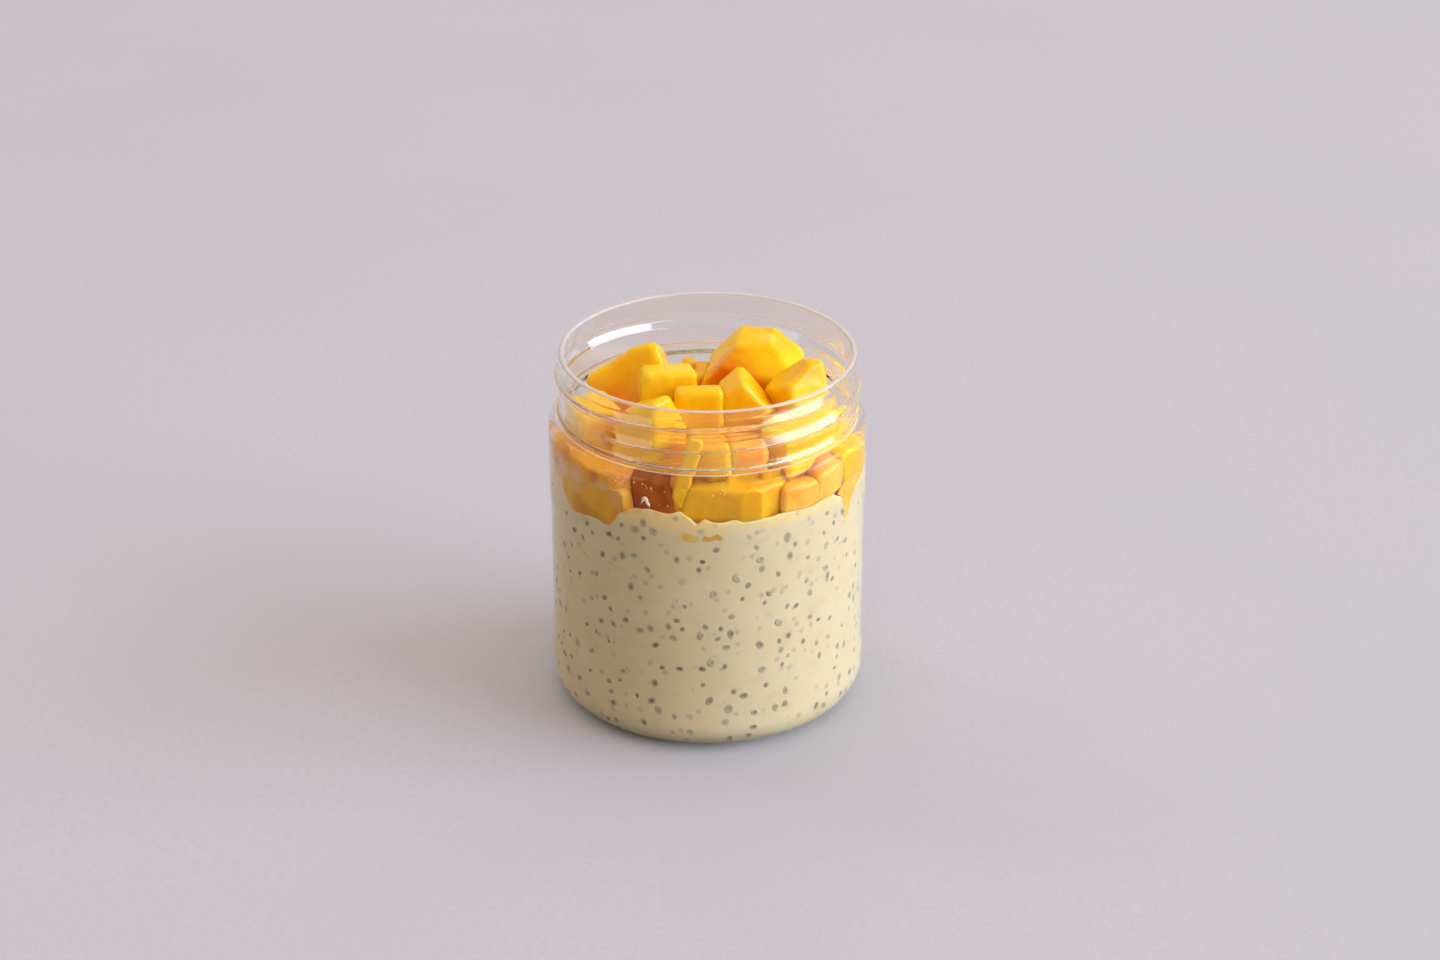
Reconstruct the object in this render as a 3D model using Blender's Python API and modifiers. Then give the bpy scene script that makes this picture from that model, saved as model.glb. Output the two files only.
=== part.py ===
"""Chia pudding under diced mango, in an open screw-neck jar of clear plastic without its lid.

The jar stands on Z = 0 with its axis on Z, and its front faces -Y. Every length is in metres.
Azimuths are in degrees round the jar's axis: 0 is the front, 90 is +X and -90 is -X.
"""

import itertools
import math
import random
from typing import NamedTuple

import bmesh
import bpy
import numpy as np
from mathutils import Euler, Vector, noise

MM = 0.001

# The jar outside
JAR_HEIGHT = 84.0 * MM
BODY_RADIUS = 36.0 * MM
NECK_RADIUS = 33.4 * MM
NECK_ROOT_Z = 69.0 * MM  # where the neck stands on the shoulder
SHOULDER_ROUND = 2.6 * MM
HEEL_ROUND = 7.0 * MM
PANEL_RECESS = 0.25 * MM  # the label panel is drawn in by this much
PANEL_Z = (11.0 * MM, 50.0 * MM)
PANEL_RAMP = 2.5 * MM
PUSH_UP = 2.4 * MM  # height of the dome under the base
STAND_RADIUS = 27.0 * MM  # inner edge of the flat ring that the jar stands on
JAR_STEPS = 44

# The jar's wall
BODY_WALL = 1.0 * MM
NECK_WALL = 1.2 * MM
BASE_WALL = 1.2 * MM
RIM_ROUND = 0.5 * MM
BODY_INSIDE = BODY_RADIUS - BODY_WALL
NECK_INSIDE = NECK_RADIUS - NECK_WALL
INSIDE_SHOULDER = (66.0 * MM, 69.8 * MM)  # between these heights the inside narrows to the neck

# The thread: one raised ridge that runs down the neck as a right-hand helix
THREAD_TOP_Z = 80.6 * MM
THREAD_PITCH = 5.2 * MM
THREAD_START, THREAD_TURN = 58.0, 468.0  # azimuth of its upper end, and how far it runs
THREAD_HALF = 0.75 * MM
THREAD_CREST = 34.5 * MM
THREAD_STEP = 9.0
THREAD_FADE = 24.0  # over this many degrees at each end the ridge grows out of the wall

# The pudding
PUDDING_GAP = 0.7 * MM  # from the jar, which leaves room for the seeds' relief
PUDDING_LEVEL = 59.4 * MM
PUDDING_STEPS = 44
SURFACE_WAVE = 0.5 * MM
# Where the surface stands higher or lower at the wall: azimuth, half width in degrees, height
SURFACE_SWELLS = (
    (-90, 28, -6.0 * MM), (-58, 20, -4.5 * MM), (-18, 14, 1.2 * MM), (10, 18, -1.0 * MM),
    (84, 24, -3.2 * MM), (150, 30, -1.4 * MM), (215, 28, 0.8 * MM),
)
SEED_SIZE = (1.9 * MM, 1.45 * MM)  # length and thickness of a swollen chia seed
SEED_RELIEF = 0.36 * MM
SEED_ROWS = 8
SEEDS_IN_ROW = 15
SEED_Z = (9.5 * MM, 51.0 * MM)

# The mango
KEEP_CLEAR = 0.32 * MM  # between any two solids that lie against each other
EDGE_ROUND = 0.65 * MM
WALL_FACET = 10.0  # a piece that is pressed to the wall has a facet this many degrees wide
# Directions that make up the ball-like shape that rounds a piece's edges
BALL = [(x, y, z) for x in (-1, 0, 1) for y in (-1, 0, 1) for z in (-1, 0, 1)
        if abs(x) + abs(y) + abs(z) in (1, 3)]


class Piece(NamedTuple):
    """One piece of mango: its middle, size, turn and the knife cuts that take its corners off.

    Lengths are in millimetres and angles in degrees. A cut is a direction in the block's own
    axes, where -Y is its outer face, and the distance of the cut from the block's middle.
    """

    name: str
    at: tuple
    size: tuple
    turn: tuple = (0, 0, 0)
    cuts: tuple = ()
    in_neck: bool = True


def by_wall(name, azimuth, z, size, turn=(0, 0, 0), cuts=(), in_neck=False, set_back=0.0):
    """A piece whose outer face lies set_back from the wall inside the body or the neck."""
    wall = (NECK_INSIDE if in_neck else BODY_INSIDE) / MM - KEEP_CLEAR / MM
    radius = wall - set_back - size[1] / 2
    angle = math.radians(azimuth)
    at = (radius * math.sin(angle), -radius * math.cos(angle), z)
    return Piece(name, at, size, (turn[0], turn[1], turn[2] + azimuth), cuts, in_neck)


# From the top of the heap down. A piece gives way to those before it, so it has a flat where
# a higher one presses on it.
HEAP = (
    Piece("sliver_front", (-4.5, -30.5, 68.3), (2.4, 1.1, 16.8), (3, 15, -8),
          (((-0.8, 0, -0.6), 4.9),)),
    Piece("crown_back_right", (10.2, 8.0, 74.0), (20.4, 17, 16.5), (0, 0, -8),
          (((-0.75, 0, 0.66), 8.0), ((0.67, 0, 0.74), 9.0), ((0.2, -0.62, 0.76), 8.4))),
    Piece("crown_middle_left", (-8.8, -5.2, 73.6), (11.2, 8.0, 14.6), (-10, 2, 10)),
    Piece("crown_back_left", (-16.8, 5.2, 73.5), (16.6, 11, 13.2), (-32, -25, 4),
          (((-0.14, 0, 0.99), 5.5), ((0.21, 0, 0.98), 6.7))),
    Piece("crown_right", (20.2, -6.6, 73.9), (9.6, 9.8, 18), (-16, 0, 34),
          (((-0.53, 0.1, 0.84), 6.2), ((0.9, 0, 0.43), 7.6))),
    Piece("crown_front_left", (-12.6, -17.5, 74.3), (11.6, 10.4, 15.6), (0, 0, -41),
          (((0, 0.86, 0.51), 3.7), ((-0.5, 0, 0.87), 4.1))),
    Piece("crown_front", (-2.0, -11.6, 73.3), (9.6, 7.4, 14), (0, 0, 3),
          (((0, 0.4, 0.92), 6.1),)),
    Piece("crown_middle_right", (7.4, -9.0, 73.6), (10.4, 8.4, 12.4), (0, -39, 4)),
    Piece("crown_back_small", (-2.6, 9.0, 69.3), (8.4, 8.4, 11), (0, 0, 16)),
    Piece("crumb_back", (-4.4, 9.4, 76.0), (2.2, 2.0, 2.4), (0, 12, 30)),
    by_wall("neck_left", -67, 71.8, (9.6, 9, 7.4), (0, 4, 4), in_neck=True),
    by_wall("neck_front", 0.5, 69.8, (8, 8, 7.8), (0, -2, 6), in_neck=True, set_back=1.4),
    by_wall("neck_front_right", 17, 69.3, (9, 9, 7.2), (0, 4, -8), in_neck=True, set_back=2.2),
    by_wall("neck_right", 48, 70.6, (16, 10, 9.2), (0, -4, 0), in_neck=True),
    by_wall("neck_far_right", 76, 68.6, (8, 8, 7), (0, 10, 0), in_neck=True, set_back=1.0),
    by_wall("neck_back_right", 148, 68.8, (14, 12, 9), (0, 6, 6), in_neck=True, set_back=2.0),
    by_wall("neck_back_left", -146, 65.4, (14, 12, 7.6), (0, -6, -6), in_neck=True, set_back=2.5),
    by_wall("ring_left", -47, 57.4, (18.0, 10, 8.4), (0, -8, 0),
            (((0.6, 0, -0.8), 7.2), ((-0.7, 0, -0.71), 8.0))),
    by_wall("ring_front_left", -23, 61.8, (9.6, 9, 8.4), (0, 0, 6), set_back=3.2),
    Piece("ring_front", (4.8, -27.0, 61.2), (22.6, 11, 8.0), (0, 0, -8),
          (((0.743, -0.669, 0), 8.1),), in_neck=False),
    by_wall("ring_front_right", 36.5, 60.6, (8.6, 9, 6.4), (0, 3, 0), set_back=0.4),
    by_wall("ring_right", 50, 61.6, (9.8, 10, 6.6), (0, -6, 0), set_back=0.2),
    by_wall("ring_far_right", 69, 60.4, (13, 9, 11.8), (0, 4, 0), (((-0.5, 0, -0.87), 6.2),)),
    by_wall("ring_back_1", 98, 57.4, (14, 11, 7.0), (0, 5, 0), set_back=0.8),
    by_wall("ring_back_2", 126, 58.4, (14.5, 12, 8.6), (0, -6, 0)),
    by_wall("ring_back_3", 155, 60.2, (14.5, 11, 8.4), (0, 4, 0)),
    by_wall("ring_back_4", 184, 60.0, (14, 12, 8.6), (0, -3, 0), set_back=0.6),
    by_wall("ring_back_5", 212, 59.8, (14, 11, 8), (0, 5, 0)),
    by_wall("ring_back_6", 240, 57.8, (14.5, 12, 8.4), (0, -5, 0)),
    by_wall("ring_far_left", 268, 59.4, (13, 10, 9.4), (0, 3, 0), set_back=3.6),
    by_wall("ring_near_left", 292, 63.0, (9, 9, 12), (0, 0, 0), set_back=2.4),
    Piece("middle_front_left", (-9.5, -11.5, 62.6), (13, 12, 11), (0, 0, 20)),
    Piece("middle_front_right", (7.5, -11.0, 63.4), (14, 12, 11), (0, 0, -12)),
    Piece("middle_left", (-14.0, 3.5, 62.6), (12.5, 13, 11), (0, 0, -8)),
    Piece("middle", (0.5, 2.0, 62.8), (13, 11, 10), (0, 0, 14)),
    Piece("middle_right", (15.5, 2.0, 63.0), (12.5, 13, 11.5), (0, 0, 6)),
    Piece("middle_back", (1.5, 15.0, 61.6), (14, 12, 9), (0, 0, -10)),
)


def clear_scene():
    for obj in list(bpy.data.objects):
        bpy.data.objects.remove(obj)


def make_collection(name):
    collection = bpy.data.collections.new(name)
    bpy.context.scene.collection.children.link(collection)
    return collection


def make_material(name, colour, roughness, sockets=()):
    material = bpy.data.materials.new(name)
    material.use_nodes = True
    shader = material.node_tree.nodes["Principled BSDF"]
    shader.inputs["Base Color"].default_value = (*colour, 1.0)
    shader.inputs["Roughness"].default_value = roughness
    for socket in sockets:
        shader.inputs[socket].default_value = sockets[socket]
    return material


def add_object(name, bm, collection, material=None):
    """Puts a bmesh in the scene as a new object, with its faces pointing out."""
    bmesh.ops.recalc_face_normals(bm, faces=bm.faces)
    mesh = bpy.data.meshes.new(name)
    bm.to_mesh(mesh)
    bm.free()
    obj = bpy.data.objects.new(name, mesh)
    collection.objects.link(obj)
    if material:
        mesh.materials.append(material)
    return obj


def applied(obj):
    """Applies an object's modifiers, by swapping in the mesh that they make."""
    bpy.context.view_layer.update()
    evaluated = obj.evaluated_get(bpy.context.evaluated_depsgraph_get())
    mesh = bpy.data.meshes.new_from_object(evaluated)
    obj.modifiers.clear()
    old, obj.data = obj.data, mesh
    bpy.data.meshes.remove(old)
    return obj


def combine(obj, operation, others, solver="EXACT"):
    """Joins a whole collection to an object or cuts it from it, and removes the collection."""
    boolean = obj.modifiers.new(operation.title(), "BOOLEAN")
    boolean.operation = operation
    boolean.operand_type = "COLLECTION"
    boolean.collection = others
    boolean.solver = solver
    applied(obj)
    for other in list(others.objects):
        bpy.data.objects.remove(other)
    bpy.data.collections.remove(others)


def drop_scraps(obj):
    """Keeps only the largest of the loose bodies in a mesh."""
    bm = bmesh.new()
    bm.from_mesh(obj.data)
    left = set(bm.verts)
    bodies = []
    while left:
        body, edge_of_body = set(), [left.pop()]
        while edge_of_body:
            vert = edge_of_body.pop()
            body.add(vert)
            near = {edge.other_vert(vert) for edge in vert.link_edges} & left
            left -= near
            edge_of_body.extend(near)
        bodies.append(body)
    bodies.sort(key=len)
    for scrap in bodies[:-1]:
        bmesh.ops.delete(bm, geom=list(scrap), context="VERTS")
    bm.to_mesh(obj.data)
    bm.free()


def turned(name, profile, steps, collection, material):
    """A profile of (radius, height) points, from pole to pole, turned round the Z axis."""
    bm = bmesh.new()
    verts = [bm.verts.new((radius, 0, z)) for radius, z in profile]
    for pair in zip(verts, verts[1:]):
        bm.edges.new(pair)
    mesh = bpy.data.meshes.new(name)
    bm.to_mesh(mesh)
    bm.free()
    mesh.materials.append(material)
    obj = bpy.data.objects.new(name, mesh)
    collection.objects.link(obj)
    screw = obj.modifiers.new("Turn", "SCREW")
    screw.steps = screw.render_steps = steps
    screw.use_merge_vertices = True
    screw.merge_threshold = 0.01 * MM
    return applied(obj)


def arc(radius, z, size, start, end, steps):
    """Points of a quarter or less of a circle. 0 degrees points out from the axis, 90 up."""
    for i in range(steps + 1):
        angle = math.radians(start + (end - start) * i / steps)
        yield radius + size * math.cos(angle), z + size * math.sin(angle)


def outside_of_jar():
    """The outer half of the jar's profile, from the rim down to the middle of its base."""
    shoulder = BODY_RADIUS - SHOULDER_ROUND
    low, high = PANEL_Z
    yield from arc(NECK_RADIUS - RIM_ROUND, JAR_HEIGHT - RIM_ROUND, RIM_ROUND, 90, 0, 3)
    yield NECK_RADIUS, NECK_ROOT_Z + 0.4 * MM
    yield from arc(shoulder, NECK_ROOT_Z - SHOULDER_ROUND, SHOULDER_ROUND, 84, 0, 4)
    yield BODY_RADIUS, high
    yield BODY_RADIUS - PANEL_RECESS, high - PANEL_RAMP
    yield BODY_RADIUS - PANEL_RECESS, low + PANEL_RAMP
    yield BODY_RADIUS, low
    yield from arc(BODY_RADIUS - HEEL_ROUND, HEEL_ROUND, HEEL_ROUND, 0, -90, 5)
    yield STAND_RADIUS, 0.0
    for share in (0.8, 0.45, 0.0):
        yield STAND_RADIUS * share, PUSH_UP * (1 - share**2)


def inside_of_jar(gap=0.0):
    """The inner half of the profile, from the middle of the floor up to the shoulder.

    A gap draws it in, which is how the pudding takes the jar's own shape.
    """
    heel = HEEL_ROUND - BODY_WALL - gap
    floor = BASE_WALL + gap
    for share in (0.0, 0.45, 0.8):
        yield STAND_RADIUS * share, PUSH_UP * (1 - share**2) + floor
    yield from arc(BODY_RADIUS - HEEL_ROUND, HEEL_ROUND, heel, -84, 0, 4)


def make_jar(collection, material):
    low, high = INSIDE_SHOULDER
    neck = [(BODY_INSIDE, low), ((BODY_INSIDE + NECK_INSIDE) / 2, low + 0.62 * (high - low)),
            (NECK_INSIDE, high)]
    rim = arc(NECK_INSIDE + RIM_ROUND, JAR_HEIGHT - RIM_ROUND, RIM_ROUND, 180, 90, 3)
    profile = [*inside_of_jar(), *neck, *rim, *outside_of_jar()]
    jar = turned("jar", profile, JAR_STEPS, collection, material)
    join = make_collection("jar_thread")
    make_thread(join, material)
    combine(jar, "UNION", join)
    return jar


def make_thread(collection, material):
    """The ridge as a tube along a helix, half sunk in the neck's wall, thinner at its ends."""
    count = round(THREAD_TURN / THREAD_STEP)
    curve = bpy.data.curves.new("thread", "CURVE")
    curve.dimensions = "3D"
    curve.bevel_depth = THREAD_HALF
    curve.bevel_resolution = 2
    curve.use_fill_caps = True
    spline = curve.splines.new("POLY")
    spline.points.add(count)
    for i, point in enumerate(spline.points):
        run = THREAD_TURN * i / count
        angle = math.radians(THREAD_START - run)
        grown = min(1.0, run / THREAD_FADE, (THREAD_TURN - run) / THREAD_FADE)
        share = 0.45 + 0.55 * grown
        radius = THREAD_CREST - THREAD_HALF - (1 - grown) * 0.65 * MM
        z = THREAD_TOP_Z - THREAD_PITCH * run / 360
        point.co = (radius * math.sin(angle), -radius * math.cos(angle), z, 1)
        point.radius = share
    tube = bpy.data.objects.new("thread_guide", curve)
    collection.objects.link(tube)
    bpy.context.view_layer.update()
    evaluated = tube.evaluated_get(bpy.context.evaluated_depsgraph_get())
    bm = bmesh.new()
    bm.from_mesh(bpy.data.meshes.new_from_object(evaluated))
    bmesh.ops.remove_doubles(bm, verts=bm.verts, dist=0.01 * MM)
    ridge = add_object("thread", bm, collection, material)
    ridge.matrix_world = tube.matrix_world
    bpy.data.objects.remove(tube)


def planes_of(piece):
    """The flat faces that bound a piece, as pairs of an outward direction and a distance."""
    turn = Euler([math.radians(angle) for angle in piece.turn]).to_matrix()
    middle = Vector(piece.at) * MM
    sides = []
    for axis, length in enumerate(piece.size):
        for sign in (-1, 1):
            sides.append((Vector([sign * (i == axis) for i in range(3)]), length / 2))
    planes = []
    for direction, distance in sides + [(Vector(cut), far) for cut, far in piece.cuts]:
        normal = turn @ direction.normalized()
        planes.append((normal, normal.dot(middle) + distance * MM))
    return planes


def wall_planes(in_neck):
    """The planes that keep a piece inside the jar's neck, or inside its body and shoulder."""
    inside = NECK_INSIDE if in_neck else BODY_INSIDE
    low, high = INSIDE_SHOULDER
    lean = math.atan2(BODY_INSIDE - NECK_INSIDE, high - low)
    planes = []
    for i in range(round(360 / WALL_FACET)):
        angle = math.radians(i * WALL_FACET)
        out = Vector((math.sin(angle), -math.cos(angle), 0))
        shrink = math.cos(math.radians(WALL_FACET / 2))
        planes.append((out, (inside - KEEP_CLEAR) * shrink))
        if not in_neck:
            slope = out * math.cos(lean) + Vector((0, 0, math.sin(lean)))
            corner = out * inside * shrink + Vector((0, 0, low))
            planes.append((slope, slope.dot(corner) - KEEP_CLEAR))
    return planes


def corners_of(planes, inset=0.0):
    """The corners of the solid that the planes bound, each plane first moved in by inset.

    They are the points where three planes meet that no other plane cuts off.
    """
    normals = np.array([normal for normal, _ in planes])
    distances = np.array([distance for _, distance in planes]) - inset
    threes = np.array(list(itertools.combinations(range(len(planes)), 3)))
    crossing = abs(np.linalg.det(normals[threes])) > 1e-3
    systems, sides = normals[threes[crossing]], distances[threes[crossing]]
    points = np.linalg.solve(systems, sides[..., None])[..., 0]
    kept = (points @ normals.T <= distances + 1e-8).all(axis=1)
    return points[kept]


def hull(points):
    """A bmesh of the tightest convex solid round some points."""
    bm = bmesh.new()
    for point in points:
        bm.verts.new(point)
    bmesh.ops.remove_doubles(bm, verts=bm.verts, dist=0.01 * MM)
    bmesh.ops.convex_hull(bm, input=bm.verts)
    loose = [vert for vert in bm.verts if not vert.link_faces]
    bmesh.ops.delete(bm, geom=loose, context="VERTS")
    return bm


def volume_of(points):
    if len(points) < 4:
        return 0.0
    bm = hull(points)
    volume = abs(bm.calc_volume())
    bm.free()
    return volume


def clear_of(planes, points):
    """Whether one of the planes has all the points on its far side."""
    return any((points @ np.array(normal)).min() >= distance + KEEP_CLEAR - 1e-7
               for normal, distance in planes)


def give_way(planes, higher, higher_corners):
    """The cut that clears a piece of a higher one, or None if they lie apart.

    It is along the face of the higher piece that leaves most of this one.
    """
    corners = corners_of(planes)
    if clear_of(higher, corners) or clear_of(planes, higher_corners):
        return None
    cuts = [(-normal, -distance - KEEP_CLEAR) for normal, distance in higher]
    return max(cuts, key=lambda cut: volume_of(corners_of(planes + [cut])))


def rounded_block(piece, planes):
    """The solid that the planes bound, with its edges and corners taken off.

    A small ball-like shape is carried round the corners of a smaller solid.
    """
    size = min(EDGE_ROUND, min(piece.size) * 0.3 * MM)
    turn = Euler([math.radians(angle) for angle in piece.turn]).to_matrix()
    ball = [turn @ Vector(at).normalized() * size for at in BALL]
    return hull([Vector(corner) + step for corner in corners_of(planes, size) for step in ball])


def settle(heap):
    """Each piece with the planes that bound it, cut clear of the wall and of those before it."""
    settled = []
    for piece in heap:
        planes = planes_of(piece)
        reach = Vector(piece.size).length / 2 * MM
        middle = Vector(piece.at) * MM
        planes += [(normal, distance) for normal, distance in wall_planes(piece.in_neck)
                   if normal.dot(middle) + reach > distance]
        for _, higher, corners in settled:
            cut = give_way(planes, higher, corners)
            if cut:
                planes.append(cut)
        settled.append((piece, planes, corners_of(planes)))
    return settled


def swell(x, y):
    """How far the pudding's surface stands above its level at a place, in metres."""
    azimuth = math.degrees(math.atan2(x, -y))
    share = (math.hypot(x, y) / BODY_INSIDE) ** 2
    rise = SURFACE_WAVE * noise.noise(Vector((x, y, 0)) / (9 * MM))
    for at, width, height in SURFACE_SWELLS:
        off = (azimuth - at + 180) % 360 - 180
        rise += height * share * math.exp(-((off / width) ** 2))
    return rise


def make_pudding(collection, material, pressed_in):
    """The set pudding up to its surface, with the dents of the mango and the seeds at its side."""
    side = BODY_INSIDE - PUDDING_GAP
    edge = 0.6 * MM
    top = [(side * share, PUDDING_LEVEL) for share in (0.0, 0.45, 0.8)]
    top += [(side - edge, PUDDING_LEVEL), (side, PUDDING_LEVEL - edge)]
    down = list(inside_of_jar(PUDDING_GAP))[::-1]
    pudding = turned("pudding", top + down, PUDDING_STEPS, collection, material)
    for vert in pudding.data.vertices:
        if vert.co.z > PUDDING_LEVEL - 2 * edge:
            vert.co.z += swell(vert.co.x, vert.co.y)
    combine(pudding, "DIFFERENCE", pressed_in)
    drop_scraps(pudding)
    seeds = make_collection("seeds")
    random.seed(11)
    low, high = SEED_Z
    for row in range(SEED_ROWS):
        for place in range(SEEDS_IN_ROW):
            azimuth = 360 * (place + 0.5 * (row % 2) + random.uniform(-0.3, 0.3)) / SEEDS_IN_ROW
            z = low + (high - low) * (row + random.uniform(-0.3, 0.3)) / (SEED_ROWS - 1)
            make_seed(seeds, material, side, azimuth, z, random.uniform(0, 180))
    combine(pudding, "UNION", seeds)
    return pudding


def make_seed(collection, material, side, azimuth, z, lean):
    """One swollen seed, half sunk in the pudding's side, where it stands out by its relief."""
    length, thick = (size * random.uniform(0.88, 1.1) for size in SEED_SIZE)
    bm = bmesh.new()
    bmesh.ops.create_icosphere(bm, subdivisions=1, radius=0.5)
    bmesh.ops.scale(bm, verts=bm.verts, vec=(thick, thick, length))
    bmesh.ops.rotate(bm, verts=bm.verts, matrix=Euler((0, math.radians(lean), 0)).to_matrix())
    bmesh.ops.translate(bm, verts=bm.verts, vec=(0, thick / 2 - SEED_RELIEF - side, 0))
    bmesh.ops.rotate(bm, verts=bm.verts, matrix=Euler((0, 0, math.radians(azimuth))).to_matrix())
    bmesh.ops.translate(bm, verts=bm.verts, vec=(0, 0, z))
    return add_object("seed", bm, collection, material)


def main():
    clear_scene()
    parts = make_collection("chia_pudding")
    clear_plastic = make_material(
        "clear_plastic", (0.95, 0.96, 0.96), 0.04, {"Transmission Weight": 1.0, "IOR": 1.57})
    set_pudding = make_material("set_pudding", (0.82, 0.74, 0.52), 0.45)
    ripe_mango = make_material("ripe_mango", (0.98, 0.52, 0.03), 0.35)
    make_jar(parts, clear_plastic)
    pressed_in = make_collection("dents")
    for piece, planes, corners in settle(HEAP):
        add_object("mango_" + piece.name, rounded_block(piece, planes), parts, ripe_mango)
        if corners[:, 2].min() < PUDDING_LEVEL + 3 * MM:
            add_object("dent", hull(corners_of(planes, -KEEP_CLEAR)), pressed_in)
    make_pudding(parts, set_pudding, pressed_in)
    for obj in parts.objects:
        if obj.name.startswith("mango"):
            continue
        obj.data.shade_smooth()
        obj.data.set_sharp_from_angle(angle=math.radians(35))


if __name__ == "__main__":
    main()
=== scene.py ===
"""Looks of a chia pudding under diced mango, in an open screw-neck jar of clear plastic.

Lengths are in metres in the part's own frame. The jar stands on Z = 0 with its axis on Z, and its
front faces -Y. Azimuths are in degrees round that axis: 0 is the front, 90 is +X and -90 is -X.
"""

import logging
import math
import random
from abc import ABC, abstractmethod
from collections.abc import Iterable, Sequence
from dataclasses import dataclass, field
from enum import Enum

import bpy
import numpy as np
from mathutils import Matrix, Vector, noise

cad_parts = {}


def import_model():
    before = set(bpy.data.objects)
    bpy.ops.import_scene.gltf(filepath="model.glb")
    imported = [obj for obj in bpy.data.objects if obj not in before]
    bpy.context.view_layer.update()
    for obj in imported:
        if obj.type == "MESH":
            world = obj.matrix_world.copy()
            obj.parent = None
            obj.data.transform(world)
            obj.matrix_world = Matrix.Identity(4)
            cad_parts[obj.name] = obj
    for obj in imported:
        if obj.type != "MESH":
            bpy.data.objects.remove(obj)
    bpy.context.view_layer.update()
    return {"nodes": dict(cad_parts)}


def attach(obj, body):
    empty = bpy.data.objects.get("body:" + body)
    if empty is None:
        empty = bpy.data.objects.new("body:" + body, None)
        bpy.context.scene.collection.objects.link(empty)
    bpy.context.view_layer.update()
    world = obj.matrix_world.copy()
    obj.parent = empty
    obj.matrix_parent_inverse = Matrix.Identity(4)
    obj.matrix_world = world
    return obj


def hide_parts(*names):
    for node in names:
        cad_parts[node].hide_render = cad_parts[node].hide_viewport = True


MM = 0.001
Point = tuple[float, float]
Colour = tuple[float, float, float]
LOG = logging.getLogger("chia_pudding")


class Slot(Enum):
    """The record's material slots."""

    PLASTIC = "clear_plastic"
    PUDDING = "set_pudding"
    MANGO = "ripe_mango"


# ------------------------------------------------------------------ modelling by operators


def deselect_all() -> None:
    """Leaves no object selected."""
    for obj in list(bpy.context.selected_objects):
        obj.select_set(False)


def make_active(obj: bpy.types.Object) -> None:
    """Selects one object alone and makes it the active one.

    Args:
        obj: The object that the next operators act on.
    """
    deselect_all()
    obj.select_set(True)
    bpy.context.view_layer.objects.active = obj


def add_object(name: str, data: bpy.types.ID) -> bpy.types.Object:
    """Puts a new object into the scene.

    Args:
        name: Its name.
        data: The mesh, light or camera that it shows.

    Returns:
        The object.
    """
    obj = bpy.data.objects.new(name, data)
    bpy.context.scene.collection.objects.link(obj)
    return obj


def aim_object(obj: bpy.types.Object, aim: Vector, azimuth: float, elevation: float, distance: float) -> None:
    """Puts an object at some distance from a point, and turns it to face that point.

    Args:
        obj: The lamp or camera.
        aim: The point.
        azimuth: The object's azimuth seen from there, in degrees.
        elevation: Its elevation, in degrees.
        distance: Its distance.
    """
    a, e = math.radians(azimuth), math.radians(elevation)
    out = Vector((math.sin(a) * math.cos(e), -math.cos(a) * math.cos(e), math.sin(e)))
    obj.location = aim + out * distance
    obj.rotation_euler = (-out).to_track_quat("-Z", "Y").to_euler()


def soften_edges(obj: bpy.types.Object, voxel: float, iterations: int) -> None:
    """Adds the modifiers that make an object of voxels and smooth it.

    Args:
        obj: The mesh object.
        voxel: The voxels' size.
        iterations: How often it is smoothed.
    """
    remesh = obj.modifiers.new("Voxels", "REMESH")
    remesh.mode = "VOXEL"
    remesh.voxel_size = voxel
    smooth = obj.modifiers.new("Soft edges", "SMOOTH")
    smooth.factor = 0.5
    smooth.iterations = iterations


def apply_modifiers(obj: bpy.types.Object) -> None:
    """Applies an object's modifiers from the first to the last.

    Args:
        obj: The object, which ends with none.
    """
    make_active(obj)
    for name in [modifier.name for modifier in obj.modifiers]:
        bpy.ops.object.modifier_apply(modifier=name)


def merge_and_face_out(obj: bpy.types.Object, distance: float = 1e-6) -> None:
    """Merges an object's double points and turns its faces outwards.

    Args:
        obj: The mesh object.
        distance: How near two points are that become one.
    """
    make_active(obj)
    bpy.ops.object.mode_set(mode="EDIT")
    bpy.ops.mesh.select_all(action="SELECT")
    bpy.ops.mesh.remove_doubles(threshold=distance)
    bpy.ops.mesh.normals_make_consistent(inside=False)
    bpy.ops.object.mode_set(mode="OBJECT")


def turn_profile(name: str, profile: Sequence[Point], steps: int) -> bpy.types.Object:
    """Spins an outline round the Z axis, from a single point that is extruded along it.

    Args:
        name: The new object's name.
        profile: (radius, height) points, from one pole to the other.
        steps: How many steps a full turn has.

    Returns:
        The closed turned object, with its place in its mesh.
    """
    deselect_all()
    radius, height = profile[0]
    bpy.ops.mesh.primitive_plane_add(size=MM)
    obj = bpy.context.object
    obj.name = obj.data.name = name
    bpy.ops.object.mode_set(mode="EDIT")
    bpy.ops.mesh.merge(type="CENTER")
    bpy.ops.transform.translate(value=(radius, 0, height))
    for (r0, z0), (r1, z1) in zip(profile, profile[1:]):
        bpy.ops.mesh.extrude_region_move(TRANSFORM_OT_translate={"value": (r1 - r0, 0, z1 - z0)})
    bpy.ops.mesh.select_all(action="SELECT")
    bpy.ops.mesh.spin(steps=steps, angle=math.tau, center=(0, 0, 0), axis=(0, 0, 1))
    bpy.ops.object.mode_set(mode="OBJECT")
    merge_and_face_out(obj)
    return obj


def points_of(obj: bpy.types.Object) -> np.ndarray:
    """The points of an object's mesh.

    Args:
        obj: The mesh object.

    Returns:
        An array of one row for each point.
    """
    points = np.empty(len(obj.data.vertices) * 3, np.float32)
    obj.data.vertices.foreach_get("co", points)
    return points.reshape(-1, 3).astype(float)


def move_points(obj: bpy.types.Object, points: np.ndarray) -> None:
    """Puts the points of an object's mesh at new places, one row for each."""
    obj.data.vertices.foreach_set("co", points.astype(np.float32).ravel())
    obj.data.update()


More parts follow.
